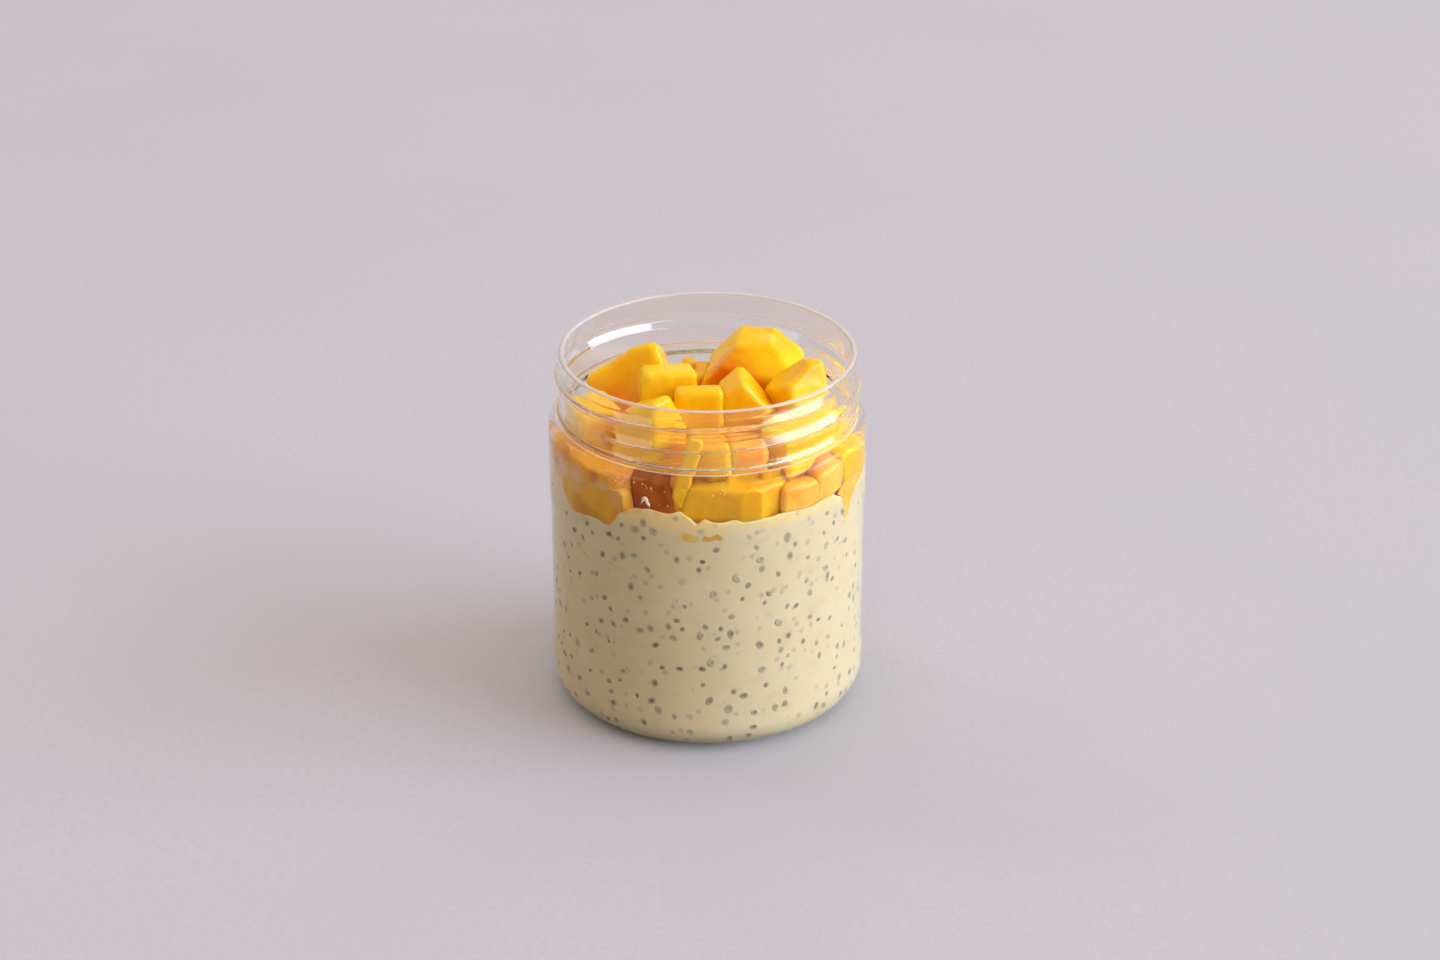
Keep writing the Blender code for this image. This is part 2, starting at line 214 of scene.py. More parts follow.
def radii(points: np.ndarray) -> np.ndarray:
    """Distances of some points from the Z axis."""
    return np.hypot(points[:, 0], points[:, 1])


def azimuths(points: np.ndarray) -> np.ndarray:
    """Azimuths of some points round the Z axis, in degrees."""
    return np.degrees(np.arctan2(points[:, 0], -points[:, 1]))


def lumpiness(points: np.ndarray, coarse: float, fine: float) -> np.ndarray:
    """Soft noise at some points, with lumps of a coarse size and half as high ones of a fine size."""
    return np.array([noise.noise(Vector(p) / coarse) + 0.5 * noise.noise(Vector(p) / fine) for p in points])


def mesh_of_copies(name: str, copies: list[np.ndarray], faces: list[list[int]]) -> bpy.types.Mesh:
    """Joins moved copies of a small shape into one mesh.

    Args:
        name: The new mesh's name.
        copies: The points of each copy.
        faces: The corners of each face of one copy.

    Returns:
        The mesh.
    """
    size = len(copies[0])
    polygons = [[corner + i * size for corner in face] for i in range(len(copies)) for face in faces]
    mesh = bpy.data.meshes.new(name)
    mesh.from_pydata(np.concatenate(copies).tolist(), [], polygons)
    return mesh


def smooth_step(low: float | np.ndarray, high: float | np.ndarray, value: np.ndarray) -> np.ndarray:
    """Shares that go softly from 0, for values up to low, to 1, for values from high on."""
    share = np.clip((value - low) / (high - low), 0, 1)
    return share * share * (3 - 2 * share)


def arc(radius: float, z: float, size: float, start: float, end: float, steps: int) -> list[Point]:
    """Profile points of a circle of some size round a middle, from one angle to another, 0 out and 90 up."""
    angles = [math.radians(start + (end - start) * i / steps) for i in range(steps + 1)]
    return [(radius + size * math.cos(a), z + size * math.sin(a)) for a in angles]


def straight(start: Point, end: Point, step: float) -> list[Point]:
    """Points of a straight stretch of a profile, without its ends.

    Args:
        start: The (radius, height) point before the first.
        end: The (radius, height) point after the last.
        step: The largest distance between two points.

    Returns:
        The (radius, height) points.
    """
    count = max(1, math.ceil(math.dist(start, end) / step))
    return [
        (start[0] + (end[0] - start[0]) * i / count, start[1] + (end[1] - start[1]) * i / count)
        for i in range(1, count)
    ]


def eased(start: Point, end: Point, steps: int) -> list[Point]:
    """Points of a soft S in a profile, evenly spread in height.

    Args:
        start: The first (radius, height) point.
        end: The last one.
        steps: How many stretches the S has.

    Returns:
        The (radius, height) points.
    """
    shares = np.linspace(0, 1, steps + 1)
    out = start[0] + (end[0] - start[0]) * smooth_step(0, 1, shares)
    up = start[1] + (end[1] - start[1]) * shares
    return list(zip(out.tolist(), up.tolist()))


def finish_piece(obj: bpy.types.Object, nodes: Iterable[str] = ()) -> None:
    """Makes a new piece ride on the part and stand for the solids it replaces.

    Args:
        obj: The finished piece.
        nodes: The solids that it replaces.
    """
    obj.data.shade_smooth()
    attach(obj, "root")
    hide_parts(*nodes)
    LOG.info("%s: %d faces, replaces %s", obj.name, len(obj.data.polygons), list(nodes) or "none")


# ------------------------------------------------------------------ finishes


class Wiring:
    """Short ways to add nodes to a tree and to wire them."""

    def __init__(self, tree: bpy.types.NodeTree) -> None:
        """Takes the tree."""
        self.tree = tree

    def node(self, kind: str, **settings: object) -> bpy.types.Node:
        """Adds a node.

        Args:
            kind: Its Blender type.
            **settings: Values for its own settings.

        Returns:
            The new node.
        """
        node = self.tree.nodes.new(kind)
        for key, value in settings.items():
            setattr(node, key, value)
        return node

    def put(self, socket: bpy.types.NodeSocket, value: object) -> None:
        """Links an input to another node's output, or sets it.

        Args:
            socket: The input.
            value: The output, or the number or numbers. A colour has three.
        """
        if isinstance(value, bpy.types.NodeSocket):
            self.tree.links.new(value, socket)
        elif socket.type == "RGBA":
            socket.default_value = (*value, 1.0)
        else:
            socket.default_value = value

    def feed(self, node: bpy.types.Node, **values: object) -> None:
        """Sets or links a node's inputs, each by its name with _ for a space."""
        for key, value in values.items():
            self.put(node.inputs[key.replace("_", " ")], value)

    def fill(self, node: bpy.types.Node, *values: object) -> bpy.types.Node:
        """Sets or links a node's first inputs in their order.

        Args:
            node: The node.
            *values: One for each input.

        Returns:
            The same node.
        """
        for socket, value in zip(node.inputs, values):
            self.put(socket, value)
        return node

    def axis(self, place: bpy.types.NodeSocket, name: str) -> bpy.types.NodeSocket:
        """One coordinate of a place, by its name."""
        return self.fill(self.node("ShaderNodeSeparateXYZ"), place).outputs[name]

    def ramp(
        self, factor: bpy.types.NodeSocket, low: float, high: float, first: float = 0.0, last: float = 1.0
    ) -> bpy.types.NodeSocket:
        """Turns a value between two others into one between first and last, with soft ends.

        Args:
            factor: The value.
            low: What becomes first.
            high: What becomes last.
            first: The new value up to low.
            last: The new value from high on.

        Returns:
            The new value.
        """
        node = self.node("ShaderNodeMapRange", interpolation_type="SMOOTHSTEP")
        self.feed(node, Value=factor, From_Min=low, From_Max=high, To_Min=first, To_Max=last)
        return node.outputs["Result"]

    def spread(self, share: bpy.types.NodeSocket, first: float, last: float) -> bpy.types.NodeSocket:
        """Turns a share evenly into a value between two others.

        Args:
            share: The share, from 0 to 1.
            first: The value at 0.
            last: The value at 1.

        Returns:
            The value.
        """
        node = self.node("ShaderNodeMapRange")
        self.feed(node, Value=share, To_Min=first, To_Max=last)
        return node.outputs["Result"]

    def mix(self, factor: object, first: object, second: object) -> bpy.types.NodeSocket:
        """Mixes two colours.

        Args:
            factor: The share of the second, as a number or a socket.
            first: The first colour, as numbers or a socket.
            second: The second colour.

        Returns:
            The mixed colour.
        """
        node = self.node("ShaderNodeMix", data_type="RGBA")
        # Where this node has its factor and its two colours
        for index, value in zip((0, 6, 7), (factor, first, second)):
            self.put(node.inputs[index], value)
        return node.outputs[2]


class Look(Wiring):
    """A material under construction: its Principled shader, and noise that is fixed to the part."""

    def __init__(self, name: str) -> None:
        """Starts a material.

        Args:
            name: Its name.
        """
        self.material = bpy.data.materials.new(name)
        self.material.use_nodes = True
        super().__init__(self.material.node_tree)
        self.shader = self.tree.nodes["Principled BSDF"]
        self.place = self.node("ShaderNodeTexCoord").outputs["Object"]

    def shade(self, **values: object) -> None:
        """Sets or links the Principled shader's own inputs, each by its name with _ for a space."""
        self.feed(self.shader, **values)

    def noise(self, scale: float, detail: float = 3.0, stretch: Colour = (1, 1, 1)) -> bpy.types.NodeSocket:
        """Soft noise over the piece.

        Args:
            scale: Waves to a metre.
            detail: How much finer noise lies on it.
            stretch: How much denser it is along each axis.

        Returns:
            Its value, from 0 to 1.
        """
        mapping = self.node("ShaderNodeMapping")
        self.feed(mapping, Vector=self.place, Scale=stretch)
        texture = self.node("ShaderNodeTexNoise")
        self.feed(texture, Vector=mapping.outputs["Vector"], Scale=scale, Detail=detail)
        return texture.outputs["Fac"]

    def waver(
        self, value: bpy.types.NodeSocket, scale: float, detail: float, amount: float
    ) -> bpy.types.NodeSocket:
        """Adds soft noise to a value, where amount is what noise of 1 adds."""
        node = self.node("ShaderNodeMath", operation="MULTIPLY_ADD")
        return self.fill(node, self.noise(scale, detail), amount, value).outputs[0]

    def bump(
        self, height: bpy.types.NodeSocket, distance: float, under: object = None
    ) -> bpy.types.NodeSocket:
        """Turns a height over the surface into a bent normal.

        Args:
            height: The height, from 0 to 1.
            distance: How far 1 stands out, in metres.
            under: The normal that it lies on, if any.

        Returns:
            The normal.
        """
        node = self.node("ShaderNodeBump")
        self.feed(node, Height=height, Distance=distance)
        if under is not None:
            self.feed(node, Normal=under)
        return node.outputs["Normal"]


class Finish(ABC):
    """A surface that can be made into a material."""

    @abstractmethod
    def paint(self, look: Look) -> None:
        """Wires the finish into a material under construction."""

    def material(self, name: str) -> bpy.types.Material:
        """Makes the material.

        Args:
            name: Its name.

        Returns:
            The material.
        """
        look = Look(name)
        self.paint(look)
        return look.material


@dataclass(frozen=True)
class ClearPlasticFinish(Finish):
    """Clear moulded plastic with faint smudges."""

    tint: Colour = (0.965, 0.945, 0.915)
    index: float = 1.4
    clean: float = 0.015
    smudged: float = 0.06
    glint: float = 1.0

    def paint(self, look: Look) -> None:
        """Wires the finish into a material.

        Args:
            look: The material under construction.
        """
        smudge = look.ramp(look.noise(60, 4), 0.5, 0.75)
        look.shade(
            Base_Color=self.tint, Transmission_Weight=1.0, IOR=self.index,
            Roughness=look.spread(smudge, self.clean, self.smudged),
            Normal=look.bump(look.noise(90, 1), 0.02 * MM), Specular_Tint=(self.glint,) * 3,
        )


@dataclass(frozen=True)
class PaintedHighlightFinish(Finish):
    """Clear plastic made slightly milky and pale, as a painted highlight: it stands in for the bright lines
    along the rim and the shoulder.
    """

    clear: float
    rough: float
    index: float = 1.4
    colour: Colour = (0.93, 0.92, 0.93)

    def paint(self, look: Look) -> None:
        """Wires the finish into a material.

        Args:
            look: The material under construction.
        """
        # Painted highlight: the pale colour, a little dimmer where the noise is high
        mottled_highlight = tuple(0.94 * c for c in self.colour)
        colour = look.mix(look.ramp(look.noise(400, 3), 0.35, 0.7), self.colour, mottled_highlight)
        look.shade(Base_Color=colour, Transmission_Weight=self.clear, IOR=self.index, Roughness=self.rough)


@dataclass(frozen=True)
class StainAndPaintedLight:
    """A soft-edged patch of another colour round a place in the part, in degrees and millimetres. Real stains
    use it, and so do the painted shade and the painted highlight on the mango.
    """

    azimuth: float
    height: float
    depth: float
    size: float
    colour: Colour
    strength: float = 1.0

    def mixed(self, look: Look, under: bpy.types.NodeSocket) -> bpy.types.NodeSocket:
        """Lays the patch over a colour.

        Args:
            look: The material under construction.
            under: The colour.

        Returns:
            The new colour.
        """
        a = math.radians(self.azimuth)
        place = (self.depth * math.sin(a) * MM, -self.depth * math.cos(a) * MM, self.height * MM)
        away = look.fill(look.node("ShaderNodeVectorMath", operation="DISTANCE"), look.place, place)
        edge = look.waver(away.outputs["Value"], 380, 3, 0.9 * self.size * MM)
        share = look.ramp(edge, 0.75 * self.size * MM, 1.75 * self.size * MM, self.strength, 0.0)
        return look.mix(share, under, self.colour)


@dataclass(frozen=True)
class PuddingFinish(Finish):
    """Set cream, and in it soft-edged swollen seeds: grey spots where they lie deep, and the seed pieces.

    Both the pudding and the seeds take it. On the seeds, one value of each point says how near it is to the
    middle of its seed, and another how pale that seed is, paler towards the lit side as painted light.
    """

    cream: Colour = (0.77, 0.665, 0.385)
    pale: Colour = (0.78, 0.695, 0.435)
    shade: Colour = (0.72, 0.615, 0.365)
    dark_seed: Colour = (0.20, 0.155, 0.105)
    pale_seed: Colour = (0.52, 0.44, 0.30)
    deep_seed: Colour = (0.42, 0.36, 0.27)
    seed_gap: float = 3.3 * MM
    scatter: float = 0.4
    # Cream that juice has tinted, and the heights between which it fades in under the mango
    juicy: Colour = (0.95, 0.74, 0.33)
    juicy_z: Point = (55.6 * MM, 59.6 * MM)
    # Where more of it has run down
    stains_and_painted_light: tuple[StainAndPaintedLight, ...] = (
        StainAndPaintedLight(-26, 60.2, 35, 1.5, (0.80, 0.56, 0.16), 0.75),
        StainAndPaintedLight(-18, 60.0, 35, 1.2, (0.80, 0.56, 0.18), 0.6),
        StainAndPaintedLight(-36, 57.0, 35, 1.6, (0.80, 0.56, 0.16), 0.6), StainAndPaintedLight(-8, 59.8, 35, 1.0, (0.80, 0.55, 0.20), 0.5),
        StainAndPaintedLight(2, 57.8, 35, 0.9, (0.84, 0.60, 0.24), 0.5), StainAndPaintedLight(14, 57.8, 35, 0.9, (0.84, 0.60, 0.24), 0.5),
        StainAndPaintedLight(-9, 54.4, 35, 1.8, (0.80, 0.62, 0.26), 0.5), StainAndPaintedLight(-50, 53.0, 35, 1.6, (0.72, 0.52, 0.20), 0.6),
        StainAndPaintedLight(30, 58.2, 35, 1.0, (0.86, 0.62, 0.32), 0.5), StainAndPaintedLight(61, 55.5, 35, 1.2, (0.86, 0.66, 0.34), 0.5),
    )
    core: str = "seed_core"
    tone: str = "seed_tone"

    def paint(self, look: Look) -> None:
        """Wires the finish into a material.

        Args:
            look: The material under construction.
        """
        cream = look.mix(look.ramp(look.noise(80, 3, (1, 1, 1.4)), 0.34, 0.68), self.cream, self.pale)
        cream = look.mix(look.ramp(look.noise(200, 3, (1, 1, 1.3)), 0.48, 0.85), cream, self.shade)
        juice = look.ramp(look.waver(look.axis(look.place, "Z"), 260, 3, 2.6 * MM), *self.juicy_z)
        cream = look.mix(juice, cream, self.juicy)
        for stain in self.stains_and_painted_light:
            cream = stain.mixed(look, cream)
        colour = look.mix(self.deep_seeds(look), cream, self.deep_seed)
        core = look.node("ShaderNodeAttribute", attribute_name=self.core)
        tone = look.node("ShaderNodeAttribute", attribute_name=self.tone)
        seed = look.mix(tone.outputs["Fac"], self.dark_seed, self.pale_seed)
        seed = look.mix(look.ramp(look.noise(1500, 2), 0.52, 0.78), seed, self.pale_seed)
        blurred = look.waver(core.outputs["Fac"], 1100, 2, 0.5)
        colour = look.mix(look.ramp(blurred, 0.26, 1.15), colour, seed)
        look.shade(
            Base_Color=colour, Roughness=0.45, Subsurface_Weight=self.scatter, Subsurface_Scale=MM,
            Subsurface_Radius=(2.6, 1.6, 0.9), Specular_IOR_Level=0.2,
        )

    def deep_seeds(self, look: Look) -> bpy.types.NodeSocket:
        """Spots for the seeds that lie too deep to show more than a grey blur.

        Args:
            look: The material under construction.

        Returns:
            How much of a spot there is, from 0 to 1.
        """
        warp = look.node("ShaderNodeTexNoise")
        look.feed(warp, Vector=look.place, Scale=420.0, Detail=1.0)
        shifted = look.node("ShaderNodeVectorMath", operation="MULTIPLY_ADD")
        look.fill(shifted, warp.outputs["Color"], (1.2 * MM,) * 3, look.place)
        cells = look.node("ShaderNodeTexVoronoi")
        look.feed(cells, Vector=shifted.outputs["Vector"], Scale=1 / self.seed_gap)
        return look.ramp(cells.outputs["Distance"], 0.08, 0.30, 0.5, 0.0)


@dataclass(frozen=True)
class FleshFinish(Finish):
    """Moist mango flesh between two colours, with faint fibres."""

    bright: Colour
    deep: Colour
    rough: float = 0.27
    scatter: float = 0.85
    coat: float = 0.08
    shine: float = 0.2
    # Patches of another colour; on some tones they are painted shade and a painted highlight
    stains_and_painted_light: tuple[StainAndPaintedLight, ...] = ()
    # Painted shade: heights between which the flesh goes from a darker copy of its deep colour, below, to its
    # own colour
    shaded: Point | None = None

    def paint(self, look: Look) -> None:
        """Wires the finish into a material.

        Args:
            look: The material under construction.
        """
        cloud = look.ramp(look.noise(130, 3), 0.35, 0.68)
        fibre = look.noise(700, 3, (1.0, 0.5, 0.35))
        colour = look.mix(cloud, self.bright, self.deep)
        fine = look.mix(look.ramp(fibre, 0.5, 0.95), colour, tuple(0.98 * c for c in self.deep))
        # Painted shade: darker flesh low down, where the dice lie in each other's shade
        if self.shaded:
            lit = look.ramp(look.waver(look.axis(look.place, "Z"), 90, 2, 4 * MM), *self.shaded)
            painted_shade_colour = tuple(c * f for c, f in zip(self.deep, (0.92, 0.72, 0.6)))
            fine = look.mix(lit, painted_shade_colour, fine)
        for stain in self.stains_and_painted_light:
            fine = stain.mixed(look, fine)
        light = look.bump(look.noise(260, 2), 0.08 * MM)
        rough = look.spread(look.noise(300, 3), self.rough - 0.08, self.rough + 0.14)
        look.shade(
            Base_Color=fine, Roughness=rough, Subsurface_Weight=self.scatter, Subsurface_Scale=MM,
            Subsurface_Radius=(4.0, 2.0, 0.5), Coat_Weight=self.coat, Coat_Roughness=0.15,
            Specular_IOR_Level=self.shine, Normal=look.bump(fibre, 0.01 * MM, light),
        )


class Flesh(Enum):
    """The mango's tones, each given to some of the dice: bright and deeper oranges, dark flesh in juice and
    paler flesh behind the wall. Some carry painted light: painted shade on DEEP, LARGE and partly AMBER, a
    painted highlight on LARGE and a painted reflection of the wall on PEACH.
    """

    # Painted shade: darker orange low down, between 80 mm and 73 mm
    DEEP = FleshFinish((0.98, 0.61, 0.003), (0.97, 0.51, 0.001), shaded=(73 * MM, 80 * MM))
    LARGE = FleshFinish(
        (0.98, 0.62, 0.003), (0.97, 0.53, 0.001), shine=0.1, coat=0.04,
        stains_and_painted_light=(
            # Painted shade: deep orange on its lower front
            StainAndPaintedLight(100, 77.5, 4.0, 6.4, (0.78, 0.235, 0.0002), 0.95),
            StainAndPaintedLight(95, 73.0, 10.0, 5.0, (0.78, 0.235, 0.0002), 0.9),
            # Painted highlight: paler yellow on its top
            StainAndPaintedLight(122, 83.6, 16.5, 2.6, (0.98, 0.70, 0.10), 0.8),
        ),
    )
    RIPE = FleshFinish((0.98, 0.61, 0.004), (0.97, 0.52, 0.002))
    GOLDEN = FleshFinish((0.99, 0.70, 0.016), (0.98, 0.61, 0.008))
    HONEY = FleshFinish(
        (0.88, 0.50, 0.010), (0.80, 0.40, 0.005),
        stains_and_painted_light=tuple(StainAndPaintedLight(a, 67.2, 34.0, 1.6, (0.74, 0.25, 0.006), 0.85) for a in range(-9, 40, 4)),
    )
    STRIP = FleshFinish((0.96, 0.56, 0.008), (0.92, 0.46, 0.004), scatter=0.3)
    # Dark brown-orange flesh in juice; part of its darkness is painted shade
    AMBER = FleshFinish(
        (0.44, 0.115, 0.001), (0.30, 0.06, 0.0005), rough=0.4, scatter=0.2, coat=0, shine=0.05,
        stains_and_painted_light=(StainAndPaintedLight(-20, 66.5, 35, 3.2, (0.62, 0.22, 0.004), 0.9),),
    )
    # Paler peach flesh for dice behind the wall: a painted reflection of the wall
    PEACH = FleshFinish((0.92, 0.50, 0.06), (0.88, 0.38, 0.03))
    OLIVE = FleshFinish(
        (0.88, 0.50, 0.012), (0.80, 0.36, 0.008), scatter=0.35,
        stains_and_painted_light=(
            StainAndPaintedLight(-54, 55.4, 35, 3.0, (0.60, 0.25, 0.01), 0.7),
            StainAndPaintedLight(-47, 54.6, 35, 3.2, (0.60, 0.25, 0.01), 0.7),
            StainAndPaintedLight(-40, 53.8, 35, 2.6, (0.66, 0.28, 0.015), 0.7),
            StainAndPaintedLight(-56, 61.5, 35, 3.0, (0.84, 0.47, 0.16), 0.8),
            StainAndPaintedLight(-34, 61.5, 35, 2.6, (0.84, 0.45, 0.14), 0.8),
        ),
    )
    HAZE = FleshFinish(
        (0.88, 0.58, 0.24), (0.84, 0.46, 0.12), rough=0.5,
        stains_and_painted_light=(
            StainAndPaintedLight(-31, 65.5, 35, 3.4, (0.68, 0.28, 0.04), 0.85),
            StainAndPaintedLight(-34, 62.0, 35, 2.6, (0.70, 0.32, 0.06), 0.8),
        ),
    )
    PULP = FleshFinish(
        (0.90, 0.44, 0.010), (0.78, 0.30, 0.006), rough=0.4, scatter=0.4,
        stains_and_painted_light=(
            StainAndPaintedLight(-80, 60.5, 35, 4.6, (0.90, 0.66, 0.38)), StainAndPaintedLight(-66, 61.0, 35, 4.4, (0.90, 0.60, 0.32)),
            StainAndPaintedLight(-55, 61.5, 35, 3.8, (0.90, 0.58, 0.27)), StainAndPaintedLight(-42, 61.5, 35, 3.4, (0.90, 0.54, 0.20)),
            StainAndPaintedLight(-80, 66.0, 35, 3.0, (0.88, 0.60, 0.36)),
            StainAndPaintedLight(-45, 64.6, 35, 1.9, (0.70, 0.26, 0.03), 0.85),
            StainAndPaintedLight(-70, 62.3, 35, 1.3, (0.60, 0.33, 0.17), 0.7),
            StainAndPaintedLight(-83, 66.4, 35, 0.8, (0.55, 0.24, 0.05), 0.8),
            StainAndPaintedLight(-32, 65.0, 35, 3.4, (0.68, 0.28, 0.04), 0.85),
        ),
    )
    GREENISH = FleshFinish((0.66, 0.55, 0.03), (0.80, 0.50, 0.01))


# ------------------------------------------------------------------ the jar


class Zone(Enum):
    """The parts of the jar that have a material of their own: its name and its finish."""

    SHOULDER = ("moulded_clear_plastic", ClearPlasticFinish(glint=0.5))
    # The rim and the shoulder's edge are milky and pale: painted highlights along them
    RIM = ("rim_painted_highlight", PaintedHighlightFinish(0.4, 0.2, 1.3, (0.84, 0.84, 0.86)))
    NECK = ("moulded_thread", ClearPlasticFinish(index=1.5, clean=0.045, smudged=0.1))
    EDGE = ("shoulder_painted_highlight", PaintedHighlightFinish(0.5, 0.15))
    BODY = ("moulded_clear_body", ClearPlasticFinish(glint=0.3))


@dataclass
class Jar:
    """The clear jar: a turned wall with a raised thread that runs down its neck."""

    height: float = 84.0 * MM
    body_radius: float = 36.0 * MM
    neck_radius: float = 33.4 * MM
    neck_root: float = 69.0 * MM
    shoulder_round: float = 2.6 * MM
    root_fillet: float = 0.45 * MM
    heel_round: float = 7.0 * MM
    panel_recess: float = 0.25 * MM
    panel_z: Point = (11.0 * MM, 50.0 * MM)
    panel_ramp: float = 2.5 * MM
    push_up: float = 2.4 * MM
    stand_radius: float = 27.0 * MM
    body_wall: float = 1.0 * MM
    neck_wall: float = 1.2 * MM
    base_wall: float = 1.2 * MM
    rim_round: float = 0.5 * MM
    inside_shoulder: Point = (66.0 * MM, 69.8 * MM)
    thread_top: float = 80.6 * MM
    thread_pitch: float = 5.2 * MM
    thread_start: float = 58.0
    thread_turn: float = 468.0
    thread_height: float = 1.05 * MM
    thread_half: float = 1.95 * MM
    thread_crest: float = 0.1
    thread_fade: float = 16.0
    bead_z: float = 70.2 * MM
    bead_height: float = 0.7 * MM
    bead_half: float = 1.1 * MM
    # How much of a ridge's height its soft foot and its round crest take
    ridge_foot: float = 0.08
    ridge_round: float = 0.16
    # The band at the shoulder's edge that carries the painted highlight, from the neck's root, and how far
    # below the root the body's side starts
    painted_highlight_band: Point = (-0.11 * MM, 0.07 * MM)
    shoulder_depth: float = 2.2 * MM
    panel_steps: int = 8
    steps: int = 288

    @property
    def body_inside(self) -> float:
        """Radius of the wall's inner side in the body."""
        return self.body_radius - self.body_wall

    @property
    def neck_inside(self) -> float:
        """Radius of the wall's inner side in the neck."""
        return self.neck_radius - self.neck_wall

    def wall_radius(self, z: np.ndarray, reach: float = 0.0) -> np.ndarray:
        """Radius of the jar's inner side at some heights in its body.

        Args:
            z: The heights.
            reach: How far into the wall to go.

        Returns:
            The radii.
        """
        size = self.heel_round - self.body_wall + reach
        fall = np.clip(self.heel_round - z, 0, size)
        heel = self.body_radius - self.heel_round + np.sqrt(size**2 - fall**2)
        low, high = self.inside_shoulder
        narrow = (self.body_inside - self.neck_inside) * smooth_step(low, high, z)
        return heel - narrow

    def outside(self) -> list[Point]:
        """The outer half of the profile, from the top of the rim down to the middle of the base.

        Returns:
            The (radius, height) points.
        """
        rim = self.rim_round
        neck_top = (self.neck_radius, self.height - rim)
        root = (self.neck_radius, self.neck_root + self.root_fillet)
        shoulder = self.body_radius - self.shoulder_round
        low, high = self.panel_z
        drawn_in = self.body_radius - self.panel_recess
        points = arc(self.neck_radius - rim, self.height - rim, rim, 90, 0, 6)
        points += straight(neck_top, root, 0.12 * MM)
        points += arc(self.neck_radius + self.root_fillet, root[1], self.root_fillet, 180, 262, 5)
        points += arc(shoulder, self.neck_root - self.shoulder_round, self.shoulder_round, 76, 0, 14)
        points += straight(points[-1], (self.body_radius, high), 3 * MM)
        points += eased((self.body_radius, high), (drawn_in, high - self.panel_ramp), self.panel_steps)
        points += straight(points[-1], (drawn_in, low + self.panel_ramp), 6 * MM)
        points += eased((drawn_in, low + self.panel_ramp), (self.body_radius, low), self.panel_steps)
        points += arc(self.body_radius - self.heel_round, self.heel_round, self.heel_round, 0, -90, 14)
        points += self.dome(0.0)[::-1]
        return points

    def dome(self, lift: float) -> list[Point]:
        """Points of the base's dome, from its middle out to the standing ring, lifted off its outer side."""
        shares = [i / 8 for i in range(9)]
        return [(self.stand_radius * s, self.push_up * (1 - s**2) + lift) for s in shares]

    def inside(self, reach: float = 0.0) -> list[Point]:
        """The inner half of the profile, from the middle of the floor up to the heel's top.

        Args:
            reach: How far into the wall it is drawn.

        Returns:
            The (radius, height) points.
        """
        heel = self.heel_round - self.body_wall + reach
        floor = self.dome(self.base_wall - reach)[:-1]
        return floor + arc(self.body_radius - self.heel_round, self.heel_round, heel, -84, 0, 12)

    def build(self) -> None:
        """Turns the wall and raises the thread on it."""
        low, high = self.inside_shoulder
        narrowing = [(float(self.wall_radius(np.array(z))), z) for z in np.linspace(low, high, 24)]
        rim = arc(self.neck_inside + self.rim_round, self.height - self.rim_round, self.rim_round, 180, 96, 5)
        profile = self.inside()
        profile += straight(profile[-1], narrowing[0], 8 * MM) + narrowing
        profile += straight(narrowing[-1], rim[0], 0.2 * MM) + rim
        profile += self.outside()
        jar = turn_profile("jar_wall", profile, self.steps)
        side = self.raise_thread(jar)
        zones = list(Zone)
        for zone in zones:
            name, finish = zone.value
            jar.data.materials.append(finish.material(name))
        for face in jar.data.polygons:
            face.material_index = zones.index(self.zone(face.center))
        jar.visible_shadow = False
        finish_piece(jar, ["jar"])
        self.smooth_thread(jar, side)

    def zone(self, place: Vector) -> Zone:
        """Which part of the jar a face belongs to.

        Args:
            place: The face's middle.

        Returns:
            The part.
        """
        low, high = self.painted_highlight_band
        outer = math.hypot(place.x, place.y) > self.neck_radius
        if place.z > self.height - 0.6 * self.rim_round:
            return Zone.RIM
        if place.z > self.inside_shoulder[1] + 0.1 * MM:
            return Zone.NECK
        if outer and self.neck_root + low < place.z < self.neck_root + high:
            return Zone.EDGE
        return Zone.BODY if place.z < self.neck_root - self.shoulder_depth else Zone.SHOULDER

    def ridge(self, off: np.ndarray) -> np.ndarray:
        """The profile of the thread's ridge and the bead's: straight flanks, a round crest and a soft foot.

        Args:
            off: The distance from its middle, where 1 is its foot.

        Returns:
            Its height, from 0 to 1.
        """
        foot, crest = self.ridge_foot, self.ridge_round
        flank = (1 - np.abs(off)) / (1 - self.thread_crest)
        rising = np.clip(flank + foot, 0, 2 * foot) ** 2 / (4 * foot)
        flank = np.where(flank < foot, rising, flank)
        rounded = 1 - np.clip(1 + crest - flank, 0, 2 * crest) ** 2 / (4 * crest)
        return np.minimum(np.where(flank > 1 - crest, rounded, flank), 1)

    def thread_rise(self, azimuth: np.ndarray, z: np.ndarray) -> np.ndarray:
        """How far the thread, or the bead below it, stands out of the neck.

        Args:
            azimuth: Azimuths in degrees.
            z: Heights.

        Returns:
            The heights of the thread's ridge there, along a right-hand helix.
        """
        raised = np.zeros(np.shape(z))
        for turn in range(-1, 3):
            run = self.thread_start - azimuth + 360 * turn
            grown = smooth_step(0, self.thread_fade, run)
            grown = grown * smooth_step(0, self.thread_fade, self.thread_turn - run)
            line = self.thread_top - self.thread_pitch * run / 360
            raised = np.maximum(raised, grown * self.ridge((z - line) / self.thread_half))
        bead = self.bead_height * self.ridge((z - self.bead_z) / self.bead_half)
        return np.maximum(self.thread_height * raised, bead)

